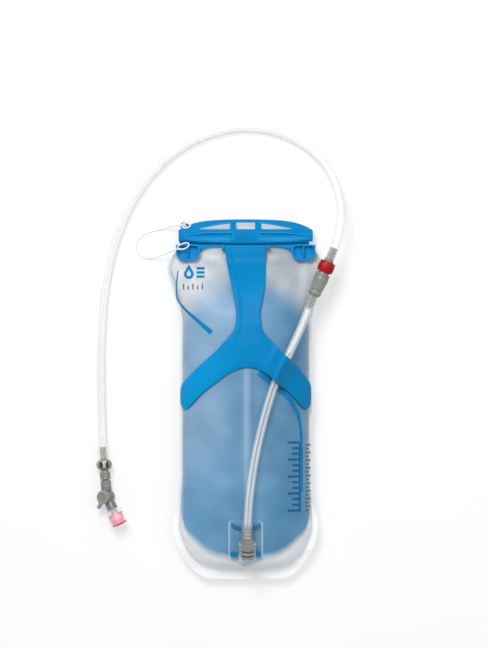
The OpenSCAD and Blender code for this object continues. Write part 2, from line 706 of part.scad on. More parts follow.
front_panel();
back_panel();
water_charge();
centre_baffle();
mouth_fold();
closure_rail();
slider();
slider_tether();
yoke();
outlet_base();
outlet_socket();
outlet_clips();
outlet_plug();
outlet_o_rings();
lower_tube();
coupler_body();
coupler_collar();
coupler_plug();
coupler_o_ring();
upper_tube();
hose_barb();
magnet_housing();
magnet();
swivel_sleeve();
valve_body();
shutoff_barrel();
shutoff_dial();
bite_core();
bite_sheath();
bite_ring();
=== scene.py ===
import math
import bmesh
import bpy
import numpy as np
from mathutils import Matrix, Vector
from mathutils.geometry import delaunay_2d_cdt


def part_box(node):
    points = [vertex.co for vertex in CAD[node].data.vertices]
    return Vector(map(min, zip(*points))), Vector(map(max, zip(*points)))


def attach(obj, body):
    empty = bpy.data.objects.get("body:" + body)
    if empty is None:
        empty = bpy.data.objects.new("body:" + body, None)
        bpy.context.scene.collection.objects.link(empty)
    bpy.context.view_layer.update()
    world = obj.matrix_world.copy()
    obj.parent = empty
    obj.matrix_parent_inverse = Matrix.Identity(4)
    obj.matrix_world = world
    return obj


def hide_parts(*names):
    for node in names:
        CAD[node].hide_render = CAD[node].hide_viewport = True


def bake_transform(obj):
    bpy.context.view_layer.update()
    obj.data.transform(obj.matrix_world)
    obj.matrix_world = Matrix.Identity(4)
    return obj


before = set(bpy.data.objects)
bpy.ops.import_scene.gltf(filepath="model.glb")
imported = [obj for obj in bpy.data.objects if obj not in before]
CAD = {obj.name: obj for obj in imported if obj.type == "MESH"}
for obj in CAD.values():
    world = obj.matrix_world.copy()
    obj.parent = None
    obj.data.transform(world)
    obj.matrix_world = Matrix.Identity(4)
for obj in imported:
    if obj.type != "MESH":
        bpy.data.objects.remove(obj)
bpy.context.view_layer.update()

MM = 0.001


# ---------------------------------------------------------------- camera
# Straight down on the bladder, from far away, as the photograph is taken
CAM_H = 4.0
FOCUS_Z = 0.020
# What the picture's long side spans at the height of FOCUS_Z, and its middle
VIEW_LONG = 0.7139
CENTRE = (-0.0024, 0.0821)
SENSOR = 36.0
cam_data = bpy.data.cameras.new("camera")
cam_data.sensor_fit = "AUTO"
cam_data.sensor_width = SENSOR
cam_data.lens = SENSOR * (CAM_H - FOCUS_Z) / VIEW_LONG
cam_data.clip_end = 50.0
camera = bpy.data.objects.new("camera", cam_data)
bpy.context.scene.collection.objects.link(camera)
camera.location = (CENTRE[0], CENTRE[1], CAM_H)
camera.rotation_euler = (0.0, 0.0, 0.0)
bpy.context.scene.camera = camera


# ---------------------------------------------------------------- numbers
def pchip(table, v):
    """A smooth curve through [position, value] rows that never overshoots."""
    t = np.array(table, float)
    x, y = t[:, 0], t[:, 1]
    h = np.diff(x)
    d = np.diff(y) / h
    m = np.zeros(len(x))
    m[0], m[-1] = d[0], d[-1]
    for i in range(1, len(x) - 1):
        if d[i - 1] * d[i] > 0:
            w1, w2 = 2 * h[i] + h[i - 1], h[i] + 2 * h[i - 1]
            m[i] = (w1 + w2) / (w1 / d[i - 1] + w2 / d[i])
    v = np.clip(np.asarray(v, float), x[0], x[-1])
    k = np.clip(np.searchsorted(x, v, side="right") - 1, 0, len(x) - 2)
    s = (v - x[k]) / h[k]
    return (
        (2 * s**3 - 3 * s**2 + 1) * y[k]
        + (s**3 - 2 * s**2 + s) * h[k] * m[k]
        + (-2 * s**3 + 3 * s**2) * y[k + 1]
        + (s**3 - s**2) * h[k] * m[k + 1]
    )


def step(a, b, v):
    """0 before a, 1 after b and a soft rise between them."""
    s = np.clip((np.asarray(v, float) - a) / (b - a), 0, 1)
    return s * s * (3 - 2 * s)


def spline(points, per):
    """Catmull-Rom through the points, with `per` steps to each span."""
    p = np.array(points, float)
    out = []
    for i in range(len(p) - 1):
        a, b, c = p[max(i - 1, 0)], p[i], p[i + 1]
        d = p[min(i + 2, len(p) - 1)]
        for j in range(per):
            f = j / per
            out.append(
                0.5 * (2 * b + (c - a) * f + (2 * a - 5 * b + 4 * c - d) * f * f
                       + (3 * b - a - 3 * c + d) * f**3)
            )
    out.append(p[-1])
    return np.array(out)


def even(points, gap):
    """The same line with its points an even distance apart."""
    p = np.array(points, float)
    s = np.concatenate([[0], np.cumsum(np.linalg.norm(np.diff(p, axis=0), axis=1))])
    n = max(2, int(round(s[-1] / gap)) + 1)
    t = np.linspace(0, s[-1], n)
    return np.stack([np.interp(t, s, p[:, k]) for k in range(3)], axis=1), s[-1]


def wave(x, y, seed, scale):
    """Soft, seeded, repeatable bumps between about -1 and 1."""
    rng = np.random.RandomState(seed)
    total = np.zeros_like(x, dtype=float)
    for _ in range(9):
        a = rng.uniform(0, 2 * math.pi)
        f = rng.uniform(0.6, 1.5) / scale
        total += np.sin((x * math.cos(a) + y * math.sin(a)) * f * 2 * math.pi
                        + rng.uniform(0, 2 * math.pi))
    return total / 4.0


# ---------------------------------------------------------------- bag shape, in mm
# Rows of [y, value]: the weld's outer and inner half-widths, the filled bag's top, the
# height of the weld, and the bag's underside
OUTER = [[-198, 41.5], [-195, 48], [-190, 55.5], [-182, 62.7], [-170, 71], [-157, 76.2],
         [-140, 79.7], [-113, 75.6], [-79, 72.5], [86, 72.5], [99, 74.5], [129, 82],
         [144, 86.4], [148, 85], [160, 79], [168.5, 71.2]]
INNER = [[-198, 28], [-187, 28], [-185.5, 38], [-183, 46], [-178, 54], [-170, 61.5],
         [-157, 68.5], [-140, 73], [-113, 71.5], [-79, 69.5], [86, 69.5], [99, 71.5],
         [129, 79], [144, 83.4], [148, 82], [160, 76], [168.5, 69]]
CROWN = [[-187, 14], [-185.5, 22], [-183, 27], [-178, 32], [-170, 34.5], [-165, 36],
         [-130, 44.7], [-112, 48.5], [-95, 50], [60, 50], [80, 48.5], [100, 44.5],
         [120, 37], [135, 28], [145, 19.5], [150, 14], [154, 11], [160, 9.4], [168.5, 9.2]]
SEAM = [[-198, 13], [-187, 13], [-165, 18], [90, 18], [120, 14], [145, 9.2], [160, 8.7],
        [168.5, 8.7]]
BACK = [[-198, 13], [-187, 13], [-184, 6], [-178, 2], [-170, 0], [125, 0], [140, 2],
        [150, 5], [156, 7.4], [160, 8], [168.5, 8]]


# Where the foot's weld ends, how far a film lies from the weld's middle, the floor
FOOT_Y, FILM_OFF, FLOOR_GAP = -187, 0.7, 0.05


def outer_w(y):
    return pchip(OUTER, y)


def inner_w(y):
    return pchip(INNER, y)


def seam_z(y):
    return np.interp(y, *np.array(SEAM).T)


def front_z(x, y):
    x, y = np.asarray(x, float), np.asarray(y, float)
    seam = seam_z(y)
    crown = np.maximum(pchip(CROWN, y), seam + 0.5)
    u = np.clip(np.abs(x) / inner_w(y), 0, 1)
    rise = np.where(y <= FOOT_Y, 0, (crown - seam) * (1 - u**2.6) ** 0.556)
    return seam + FILM_OFF + rise


def back_z(x, y):
    x, y = np.asarray(x, float), np.asarray(y, float)
    seam = seam_z(y)
    low = pchip(BACK, y)
    u = np.clip(np.abs(x) / inner_w(y), 0, 1)
    z = seam - FILM_OFF - (seam - FILM_OFF - low + 0.4) * (1 - u**7) ** 0.5
    return np.where(y <= FOOT_Y, seam - FILM_OFF, np.maximum(z, FLOOR_GAP))


# ---------------------------------------------------------------- materials
def new_mat(name):
    m = bpy.data.materials.new(name)
    m.use_nodes = True
    t = m.node_tree
    return m, t, t.nodes["Principled BSDF"]


def srgb(r, g, b):
    def f(c):
        c = c / 255.0
        return c / 12.92 if c <= 0.04045 else ((c + 0.055) / 1.055) ** 2.4
    return (f(r), f(g), f(b), 1.0)


def coord(t, kind="Object"):
    return t.nodes.new("ShaderNodeTexCoord").outputs[kind]


def axes(t, kind="Object"):
    """The X, Y and Z sockets of a texture coordinate."""
    n = t.nodes.new("ShaderNodeSeparateXYZ")
    t.links.new(coord(t, kind), n.inputs["Vector"])
    return n.outputs


def mask(t, name):
    """One of the mesh's own masks, as set_mask writes them."""
    n = t.nodes.new("ShaderNodeAttribute")
    n.attribute_name = name
    return n.outputs["Fac"]


def calc(t, op, a, b=0.0, clamp=False):
    """A Math node; a and b are numbers or sockets."""
    n = t.nodes.new("ShaderNodeMath")
    n.operation, n.use_clamp = op, clamp
    for k, v in enumerate((a, b)):
        if isinstance(v, float):
            n.inputs[k].default_value = v
        else:
            t.links.new(v, n.inputs[k])
    return n.outputs[0]


def noise(t, scale, detail=3.0, rough=0.5):
    n = t.nodes.new("ShaderNodeTexNoise")
    n.inputs["Scale"].default_value = scale
    n.inputs["Detail"].default_value = detail
    n.inputs["Roughness"].default_value = rough
    t.links.new(coord(t), n.inputs["Vector"])
    return n.outputs["Fac"]


def ramp(t, src, a, b, ca, cb):
    r = t.nodes.new("ShaderNodeValToRGB")
    r.color_ramp.elements[0].position = a
    r.color_ramp.elements[1].position = b
    r.color_ramp.elements[0].color = ca
    r.color_ramp.elements[1].color = cb
    t.links.new(src, r.inputs["Fac"])
    return r.outputs["Color"]


def spread(t, src, a, b, lo, hi):
    r = t.nodes.new("ShaderNodeMapRange")
    r.inputs["From Min"].default_value = a
    r.inputs["From Max"].default_value = b
    r.inputs["To Min"].default_value = lo
    r.inputs["To Max"].default_value = hi
    t.links.new(src, r.inputs["Value"])
    return r.outputs["Result"]


def mix(t, fac, a, b):
    n = t.nodes.new("ShaderNodeMix")
    n.data_type = "RGBA"
    for s, v in ((n.inputs["Factor"], fac), (n.inputs[6], a), (n.inputs[7], b)):
        if hasattr(v, "is_linked"):
            t.links.new(v, s)
        else:
            s.default_value = v
    return n.outputs[2]


def bump(t, shader, height, strength, distance):
    b = t.nodes.new("ShaderNodeBump")
    b.inputs["Strength"].default_value = strength
    b.inputs["Distance"].default_value = distance
    t.links.new(height, b.inputs["Height"])
    t.links.new(b.outputs["Normal"], shader.inputs["Normal"])


GRAIN, GRAIN_H = 900.0, 0.00002


def moulded(name, dark, light, rough, spec=0.5):
    """Moulded plastic: soft colour drift, a fine grain and slightly uneven gloss."""
    m, t, s = new_mat(name)
    drift = noise(t, 38.0, 4.0, 0.55)
    t.links.new(ramp(t, drift, 0.30, 0.72, dark, light), s.inputs["Base Color"])
    fine = noise(t, GRAIN, 2.0, 0.6)
    t.links.new(spread(t, noise(t, 110.0, 3.0), 0.3, 0.7, rough - 0.05, rough + 0.07),
                s.inputs["Roughness"])
    s.inputs["Specular IOR Level"].default_value = spec
    bump(t, s, fine, 0.35, GRAIN_H)
    return m


BLUE = moulded("blue_moulded", srgb(0, 116, 174), srgb(0, 125, 184), 0.4, spec=0.06)


def closer_blue():
    """The closer's plastic, with painted light and shade in its two dished finger panels and a
    painted shadow along its lower lip.
    """
    m = moulded("closer_moulded", srgb(0, 113, 170), srgb(0, 122, 180), 0.48, spec=0.04)
    t = m.node_tree
    s = t.nodes["Principled BSDF"]
    x = axes(t)
    side = calc(t, "ABSOLUTE", x["X"])
    across = calc(t, "MULTIPLY", spread(t, side, 0.014, 0.019, 0.0, 1.0),
                  spread(t, side, 0.050, 0.065, 1.0, 0.0))
    # From -1 to 1 over the height of the finger panels
    up = calc(t, "DIVIDE", calc(t, "SUBTRACT", x["Y"], 0.1785), 0.0056)
    round_off = calc(t, "SUBTRACT", 1.0, calc(t, "MULTIPLY", up, up), True)
    dish = calc(t, "MULTIPLY", across, round_off)
    # Painted shadow: the lower lip is darkened as if in shade
    lower_lip_shadow = calc(t, "SUBTRACT", 1.0, spread(t, x["Y"], 0.1708, 0.1732, 0.0, 1.0))
    body = s.inputs["Base Color"].links[0].from_socket
    # Painted light and shade in the finger panels: paler at the bottom, darker at the top
    dish_light_and_shade = mix(t, spread(t, up, -0.75, 0.75, 0.0, 1.0), srgb(34, 144, 198), srgb(0, 94, 150))
    col = mix(t, calc(t, "MULTIPLY", dish, 0.85), body, dish_light_and_shade)
    col = mix(t, calc(t, "MULTIPLY", lower_lip_shadow, 0.65), col, srgb(0, 66, 112))
    t.links.new(col, s.inputs["Base Color"])
    return m


CLOSER_BLUE = closer_blue()


def fork_blue():
    """The retainer's plastic, with painted light that makes its left arm a little paler."""
    m = moulded("fork_moulded", srgb(0, 111, 165), srgb(0, 120, 176), 0.4, spec=0.06)
    t = m.node_tree
    s = t.nodes["Principled BSDF"]
    x = axes(t)
    # Painted light: the left arm is made paler as if lit from the left
    arm = calc(t, "MULTIPLY", spread(t, x["X"], -0.062, 0.004, 1.0, 0.0),
               spread(t, x["Y"], 0.050, 0.080, 1.0, 0.0))
    body = s.inputs["Base Color"].links[0].from_socket
    t.links.new(mix(t, arm, body, srgb(0, 134, 190)), s.inputs["Base Color"])
    return m


FORK_BLUE = fork_blue()
GREY = moulded("grey_moulded", srgb(112, 113, 109), srgb(132, 132, 127), 0.34)
WARM = moulded("warm_moulded", srgb(116, 112, 102), srgb(146, 141, 130), 0.3)
COOL = moulded("cool_moulded", srgb(92, 101, 105), srgb(110, 119, 122), 0.34)
DARK = moulded("dark_moulded", srgb(74, 76, 78), srgb(90, 92, 94), 0.4)
RED = moulded("red_moulded", srgb(146, 2, 10), srgb(162, 8, 16), 0.4, spec=0.2)
SEAL = moulded("seal_rubber", srgb(24, 24, 24), srgb(38, 38, 38), 0.55)
RING_RED = moulded("ring_silicone", srgb(214, 36, 52), srgb(232, 58, 72), 0.34)
PALE = moulded("pale_moulded", srgb(126, 123, 116), srgb(156, 153, 146), 0.26)
# The lips' paler, glossier blue is a painted highlight on their raised edges
LIP_HIGHLIGHT = moulded("closer_lip", srgb(6, 128, 186), srgb(20, 140, 198), 0.36, spec=0.2)


def steel():
    """The magnet's bright face: dark metal with one lit band across it."""
    m, t, s = new_mat("magnet_steel")
    s.inputs["Metallic"].default_value = 1.0
    dark = ramp(t, noise(t, 240.0), 0.3, 0.7, srgb(66, 74, 70), srgb(92, 98, 96))
    lit = ramp(t, noise(t, 240.0), 0.3, 0.7, srgb(214, 216, 218), srgb(236, 238, 240))
    glint = t.nodes.new("ShaderNodeValToRGB")
    e = glint.color_ramp.elements
    e[0].position, e[1].position = 0.30, 0.44
    e.new(0.62).color = (1, 1, 1, 1)
    e.new(0.74).color = (0, 0, 0, 1)
    e[0].color, e[1].color = (0, 0, 0, 1), (1, 1, 1, 1)
    t.links.new(axes(t, "Generated")["X"], glint.inputs["Fac"])
    t.links.new(mix(t, glint.outputs["Color"], dark, lit), s.inputs["Base Color"])
    t.links.new(spread(t, noise(t, 600.0), 0.3, 0.7, 0.14, 0.28), s.inputs["Roughness"])
    return m


STEEL = steel()


def clear(name, tint_a, tint_b, alpha, rough, scale=60.0, grain=0.15):
    """Clear moulded plastic or silicone, with faint flow marks."""
    m, t, s = new_mat(name)
    t.links.new(ramp(t, noise(t, scale, 3.0), 0.3, 0.7, tint_a, tint_b),
                s.inputs["Base Color"])
    s.inputs["Alpha"].default_value = alpha
    s.inputs["IOR"].default_value = 1.46
    t.links.new(spread(t, noise(t, 150.0), 0.3, 0.7, max(rough - 0.04, 0.02), rough + 0.05),
                s.inputs["Roughness"])
    if grain:
        bump(t, s, noise(t, 420.0, 2.0), grain, 0.00003)
    return m


CLEAR = clear("clear_moulded", srgb(214, 226, 233), srgb(232, 240, 244), 0.03, 0.1)
CLEAR_EDGE = clear("clear_moulded_edge", srgb(206, 224, 235), srgb(228, 238, 243), 0.34, 0.1)
SHEATH = clear("sheath_clear", srgb(236, 228, 232), srgb(250, 244, 246), 0.17, 0.12,
               grain=0.0)


def hose_mat():
    """Clear hose: the masks say how much wall one looks through round the tube, where painted
    highlight streaks lie and where painted shade darkens its edges.
    """
    m, t, s = new_mat("hose_clear")
    flow = ramp(t, noise(t, 55.0, 3.0), 0.3, 0.7, srgb(222, 225, 227), srgb(232, 235, 237))
    # Painted shade: the tube's edges are darkened to grey
    t.links.new(mix(t, mask(t, "edge"), flow, srgb(150, 156, 160)), s.inputs["Base Color"])
    t.links.new(mask(t, "wall_and_sheen"), s.inputs["Alpha"])
    t.links.new(spread(t, noise(t, 120.0), 0.3, 0.7, 0.10, 0.18), s.inputs["Roughness"])
    s.inputs["IOR"].default_value = 1.42
    return m


HOSE = hose_mat()
PINK = clear("core_silicone", srgb(212, 38, 100), srgb(248, 150, 170), 1.0, 0.3, scale=210.0)


def cord_mat():
    """Fine twisted cord: a close wave for the lay of its strands."""
    m, t, s = new_mat("tether_cord")
    w = t.nodes.new("ShaderNodeTexWave")
    w.inputs["Scale"].default_value = 900.0
    w.inputs["Distortion"].default_value = 1.0
    t.links.new(coord(t), w.inputs["Vector"])
    t.links.new(ramp(t, w.outputs["Fac"], 0.1, 0.9, srgb(196, 200, 203), srgb(232, 235, 237)),
                s.inputs["Base Color"])
    s.inputs["Roughness"].default_value = 0.4
    bump(t, s, w.outputs["Fac"], 0.4, 0.0001)
    return m


CORD = cord_mat()


def film_mat(name, body_alpha, edge_alpha):
    """Frosted film. The mesh's own masks say where the contents press against it."""
    m, t, s = new_mat(name)
    tint, shade, band, weld = (mask(t, k) for k in ("tint", "shade", "band", "weld"))
    mottle = noise(t, 26.0, 2.0, 0.45)
    pale_lit_blue = ramp(t, mottle, 0.34, 0.68, srgb(121, 153, 183), srgb(137, 166, 194))
    deep_shaded_blue = ramp(t, mottle, 0.34, 0.68, srgb(48, 108, 144), srgb(64, 121, 155))
    low_blue = ramp(t, mottle, 0.34, 0.68, srgb(97, 147, 184), srgb(112, 158, 193))
    # The shade mask is partly the water's depth and partly painted shade, darker on the right
    blue = mix(t, shade, mix(t, mask(t, "low"), pale_lit_blue, low_blue), deep_shaded_blue)
    cloud = noise(t, 34.0, 4.0, 0.6)
    # Painted shade: the frost is darker on the right, by the same mask as the blue
    frost = mix(t, shade, ramp(t, cloud, 0.3, 0.7, srgb(190, 196, 200), srgb(211, 216, 219)),
                ramp(t, cloud, 0.3, 0.7, srgb(134, 143, 150), srgb(156, 165, 172)))
    frost = mix(t, mask(t, "wing"), frost, srgb(176, 180, 187))
    col = mix(t, tint, frost, blue)
    col = mix(t, band, col, srgb(150, 178, 202))
    col = mix(t, weld, col, srgb(240, 241, 243))
    t.links.new(col, s.inputs["Base Color"])
    t.links.new(spread(t, mask(t, "body"), 0.0, 1.0, edge_alpha, body_alpha),
                s.inputs["Alpha"])
    t.links.new(spread(t, noise(t, 70.0, 3.0), 0.3, 0.7, 0.38, 0.52), s.inputs["Roughness"])
    s.inputs["Specular IOR Level"].default_value = 0.35
    bump(t, s, noise(t, 48.0, 4.0, 0.55), 0.22, 0.0006)
    return m


FILM = film_mat("frosted_film", 0.93, 0.50)
BACK_FILM = film_mat("frosted_film_back", 0.9, 0.5)


def water_mat():
    m, t, s = new_mat("tinted_water")
    t.links.new(ramp(t, noise(t, 24.0, 2.0), 0.35, 0.68, srgb(104, 156, 196),
                     srgb(150, 190, 216)), s.inputs["Base Color"])
    s.inputs["Roughness"].default_value = 0.2
    s.inputs["Alpha"].default_value = 0.85
    bump(t, s, noise(t, 30.0, 2.0), 0.2, 0.0006)
    return m


WATER = water_mat()


def ink(name, a, b):
    """Printed ink: nearly flat, with no gloss of its own."""
    m, t, s = new_mat(name)
    t.links.new(ramp(t, noise(t, 300.0, 3.0), 0.3, 0.7, a, b), s.inputs["Base Color"])
    t.links.new(spread(t, noise(t, 500.0), 0.3, 0.7, 0.42, 0.54), s.inputs["Roughness"])
    s.inputs["Specular IOR Level"].default_value = 0.1
    return m


INK_BLUE = ink("ink_blue", srgb(0, 106, 158), srgb(4, 116, 168))
INK_NAVY = ink("ink_navy", srgb(8, 84, 132), srgb(20, 96, 144))
INK_GREY = ink("ink_grey", srgb(78, 84, 90), srgb(98, 104, 110))


# ---------------------------------------------------------------- mesh helpers
def make(name, verts, faces, mat, smooth=True):
    me = bpy.data.meshes.new(name)
    me.from_pydata([tuple(v) for v in verts], [], faces)
    me.validate()
    me.materials.append(mat)
    me.polygons.foreach_set("use_smooth", [smooth] * len(me.polygons))
    me.update()
    o = bpy.data.objects.new(name, me)
    bpy.context.scene.collection.objects.link(o)
    return o


def set_mask(o, name, values):
    a = o.data.attributes.new(name, "FLOAT", "POINT")
    a.data.foreach_set("value", np.asarray(values, np.float32))


def grid_faces(nr, nc, off=0, flip=False):
    out = []
    for i in range(nr - 1):
        for j in range(nc - 1):
            a = off + i * nc + j
            q = (a, a + 1, a + nc + 1, a + nc)
            out.append(q[::-1] if flip else q)
    return out


def ring_faces(rings, sides, off=0, flip=False):
    """Quads between closed rings of `sides` points; flip turns them over."""
    out = []
    for i in range(rings - 1):
        lo, hi = off + i * sides, off + (i + 1) * sides
        for k in range(sides):
            a, b = k, (k + 1) % sides
            if flip:
                a, b = b, a
            out.append((lo + a, lo + b, hi + b, hi + a))
    return out


def frames(path):
    """Two steady unit normals along a path."""
    p = np.array(path, float)
    t = np.gradient(p, axis=0)
    t /= np.linalg.norm(t, axis=1)[:, None]
    n = np.zeros_like(t)
    up = np.array([0.0, 0.0, 1.0])
    n[0] = np.cross(t[0], up)
    if np.linalg.norm(n[0]) < 1e-3:
        n[0] = np.cross(t[0], [1.0, 0.0, 0.0])
    n[0] /= np.linalg.norm(n[0])
    for i in range(1, len(p)):
        v = n[i - 1] - t[i] * np.dot(n[i - 1], t[i])
        n[i] = v / np.linalg.norm(v)
    return n, np.cross(t, n)


def tube(name, path, outer, inner, mat, sides=24):
    """A tube along a path in metres; radii are numbers or one per point. Without an
    inner radius it is a solid rod with flat ends."""
    p = np.array(path, float)
    n, b = frames(p)
    a = np.linspace(0, 2 * math.pi, sides, endpoint=False)
    verts = []

    def shell(radii):
        for i in range(len(p)):
            for k in a:
                verts.append(p[i] + radii[i] * (math.cos(k) * n[i] + math.sin(k) * b[i]))

    shell(np.broadcast_to(outer, (len(p),)))
    rings = len(p)
    last = (rings - 1) * sides
    faces = ring_faces(rings, sides)
    if inner is None:
        faces.append(tuple(range(sides))[::-1])
        faces.append(tuple(last + k for k in range(sides)))
    else:
        off = rings * sides
        shell(np.broadcast_to(inner, (len(p),)))
        faces += ring_faces(rings, sides, off, True)
        for k in range(sides):
            q = (k + 1) % sides
            faces.append((q, k, off + k, off + q))
            faces.append((last + k, last + q, off + last + q, off + last + k))
    return make(name, verts, faces, mat)


# ---------------------------------------------------------------- cords
LOWER = [[2, -152.4, 50.2], [2, -146.5, 51.7], [2.2, -136, 54.2], [3.5, -112, 57.8],
         [7, -84, 58], [11.8, -56, 57], [18.2, -28, 55.8], [25.4, -2, 54.8],
         [34, 22.5, 53.6], [47.5, 50.5, 50], [58.5, 74, 43], [64.4, 88, 37.6],
         [68.6, 98.6, 34.3], [72, 107.6, 33.3], [74.8, 114.1, 33.2]]
UPPER = [[91.8, 153.2, 33.2], [96.3, 164, 33.2], [100.4, 175, 33], [104, 192, 31.6],
         [104.6, 211, 28], [100.6, 231, 22.6], [92.4, 250.5, 16.6], [79, 268, 11.4],
         [58, 283.6, 7.4], [34, 293.6, 5.3], [12, 298, 4.8], [-11, 298, 4.8],
         [-34, 293, 4.8], [-56, 284.5, 4.8], [-77, 272, 4.8], [-96, 255.5, 4.8],
         [-112, 236.5, 4.8], [-125.6, 215, 4.8], [-136.4, 192, 4.8], [-145, 168, 4.8],
         [-151, 142, 4.8], [-155.4, 115, 4.8], [-157.8, 88, 4.8], [-159, 62, 4.8],
         [-159.3, 36, 4.8], [-159.2, 12, 4.8], [-158.8, -12, 5.2], [-158, -32, 6.4],
         [-157.5, -48, 8], [-157, -58, 8.6], [-156.6, -65.6, 8.7]]
TETHER = [[-67.5, 190.6, 8.5], [-67.7, 190.6, 12], [-70, 191, 14.6], [-75, 191.5, 13.6],
          [-84, 190, 7], [-93, 187.5, 2.2], [-102, 185.5, 0.9], [-112, 181.5, 0.9],
          [-119, 175, 0.9], [-121, 167, 0.9], [-118, 160, 0.9], [-112, 156, 1.2],
          [-103, 155.5, 3.5], [-94, 158, 8.5], [-86, 161, 14.5], [-79, 163.5, 20.6],
          [-74.5, 165, 22], [-71.2, 165.5, 20.4], [-70.5, 165.5, 16.6]]
HOSE_R, HOSE_BORE, HOSE_SIDES = 4.7, 3.2, 32
CORD_R = 0.75


def wall_and_sheen_masks(o, line, swell):
    """Bands of thick and thin wall along the hose, with painted highlight streaks and painted
    dark lines at its edges, as a clear tube shows them.
    """
    n, b = frames(line)
    a = np.linspace(0, 2 * math.pi, HOSE_SIDES, endpoint=False)
    up = np.cos(a)[None, :] * n[:, 2:3] + np.sin(a)[None, :] * b[:, 2:3]
    side = np.sqrt(np.clip(1 - up**2, 0, 1))
    # Partly the wall one looks through, partly painted highlight streaks along the tube
    prof = [[0, 0.22], [0.16, 0.16], [0.30, 0.60], [0.52, 0.62], [0.66, 0.20], [0.74, 0.46],
            [0.90, 0.50], [1.0, 0.62]]
    wall_and_sheen = pchip(prof, side) * np.where(up > -0.1, 1, 0.28) * (1 - 0.62 * swell[:, None])
    # Painted shade: dark lines at the tube's sides and at its bore's edges
    edge = np.clip(step(0.88, 1.0, side) + 0.5 * np.exp(-((side - 0.67) / 0.05)**2), 0, 1)
    set_mask(o, "wall_and_sheen", np.concatenate([wall_and_sheen.ravel(), wall_and_sheen.ravel() * 0.25]))
    set_mask(o, "edge", np.concatenate([edge.ravel(), edge.ravel() * 0.4]))


def hose(name, route, body, node, swell_from, swell_to):
    """A clear hose on its route; swell_from and swell_to are its barbs' lengths."""
    line, length = even(spline(np.array(route) * MM, 12), 0.0026)
    s = np.linspace(0, length, len(line))
    # The hose swells over the barb at each end
    swell = np.maximum(1 - step(swell_from * MM, (swell_from + 4) * MM, s),
                       step(length - (swell_to + 4) * MM, length - swell_to * MM, s))
    ripple = 0.12 * swell * np.cos(s / MM * 2 * math.pi / 4.0)
    outer = (HOSE_R + 1.05 * swell + ripple) * MM
    inner = (HOSE_BORE + 2.1 * swell) * MM
    o = tube(name, line, outer, inner, HOSE, HOSE_SIDES)
    wall_and_sheen_masks(o, line, swell)
    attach(o, body)
    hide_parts(node)


hose("lower_hose_tube", LOWER, "lower_hose", "lower_tube", 15.0, 14.0)
hose("upper_hose_tube", UPPER, "upper_hose", "upper_tube", 13.0, 11.0)

tether_line, tether_len = even(spline(np.array(TETHER) * MM, 10), 0.0012)
tether = tube("tether_loop", tether_line, CORD_R * MM, None, CORD, sides=12)
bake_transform(tether)
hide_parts("slider_tether")


def eye_loop(name, centre, rx, ry, turn, tilt, body):
    """A small closed loop of cord where the tether is tied on."""
    a = np.linspace(0, 2 * math.pi, 41)
    x, y = rx * np.cos(a), ry * np.sin(a)
    c, s = math.cos(turn), math.sin(turn)
    line = np.stack([centre[0] + x * c - y * s, centre[1] + x * s + y * c,
                     centre[2] + tilt * np.cos(a)], axis=1) * MM
    o = tube(name, line, CORD_R * MM, None, CORD, sides=12)
    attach(o, body)
    return o


loops = [eye_loop("tether_eye_closer", (-65.6, 191.2, 13.6), 5.0, 2.7, 0.15, 0.9,
                  "slide_closer"),
         eye_loop("tether_eye_rail", (-68.6, 168.2, 20.6), 6.6, 3.0, 0.35, 0.5, "bag")]


# ---------------------------------------------------------------- bag films
def rows_of():
    """y stations along the bag, closer together where the foot and shoulders turn."""
    return np.concatenate([
        np.linspace(-198, FOOT_Y, 9), np.linspace(-186.6, -160, 26),
        np.linspace(-158, 96, 104), np.linspace(98, 168.4, 50)])


# Columns over each side's weld, and from the middle to the weld
FLANGE, HALF = 4, 34


def cols_of(y):
    """x stations across the bag at y: the weld, then closer together to the edges."""
    w, i = float(outer_w(y)), float(inner_w(y))
    u = np.sin(np.linspace(-math.pi / 2, math.pi / 2, 2 * HALF + 1))
    left = -w + (w - i) * np.linspace(0, 1, FLANGE, endpoint=False)
    return np.concatenate([left, i * u, -left[::-1]])


def edge_gap(x, y):
    """How far a point lies inside the weld's inner line, in mm."""
    side = inner_w(y) - np.abs(x)
    foot = y - FOOT_Y
    # The foot's line and the sides' lines meet in a soft corner of this size
    k = 10.0
    h = np.clip(0.5 + 0.5 * (foot - side) / k, 0, 1)
    return foot * (1 - h) + side * h - k * h * (1 - h)


def skin(X, Y, z_of, up):
    """The film's own surface, with the small unevenness of real film."""
    Z = z_of(X, Y)
    gap = edge_gap(X, Y)
    inside = step(0, 9, gap)
    # Soft unevenness of the full bag, and puckers that run in from the welds
    Z = Z + up * inside * 0.35 * wave(X, Y, 5, 46)
    along = np.where(Y < -150, np.arctan2(X, -(Y + 110)) * 95, Y)
    near = step(0, 3, gap) * (1 - step(4, 20, gap))
    Z = Z + up * near * 0.45 * wave(along, along * 0, 3, 11)
    # Creases from the shoulders of the bag to the closure
    top = step(96, 128, Y) * (1 - step(152, 159, Y))
    spokes = np.arctan2(X - np.sign(X) * 64, 176 - Y)
    Z = Z + up * top * inside * 0.7 * np.sin(spokes * 13 + 0.8 * wave(X, Y, 9, 40))
    # The weld is a low double ridge round the edge
    rim = np.where(gap < 0, 1.0, 0.0)
    Z = Z + up * rim * 0.10 * np.cos(np.clip(gap, -11, 0) * 2 * math.pi / 3.6)
    return np.maximum(Z, FLOOR_GAP) if up < 0 else Z


# Where the tinted water begins at the foot: [distance from the middle, height]
FOOT = [[0, -179], [30, -175], [45, -168], [55, -159], [66, -148], [71, -132], [80, -110]]
# How deep the blue is across the bag: paler towards the edges where the water is thin, and
# painted shade that makes the right side darker than the left
SHADE = [[-80, 0.05], [-66, 0.10], [-55, 0.22], [-45, 0.28], [-30, 0.46], [-12, 0.60],
         [12, 0.60], [30, 0.86], [45, 0.92], [55, 0.84], [66, 0.55], [80, 0.35]]
# Paler spots where light comes through: x, y and radius
PATCHES = [(-25, -87, 11), (30, -88, 9), (-14, -125, 10), (15, -125, 9), (-25, -31, 12),
           (40, -20, 9), (-44, 20, 12)]


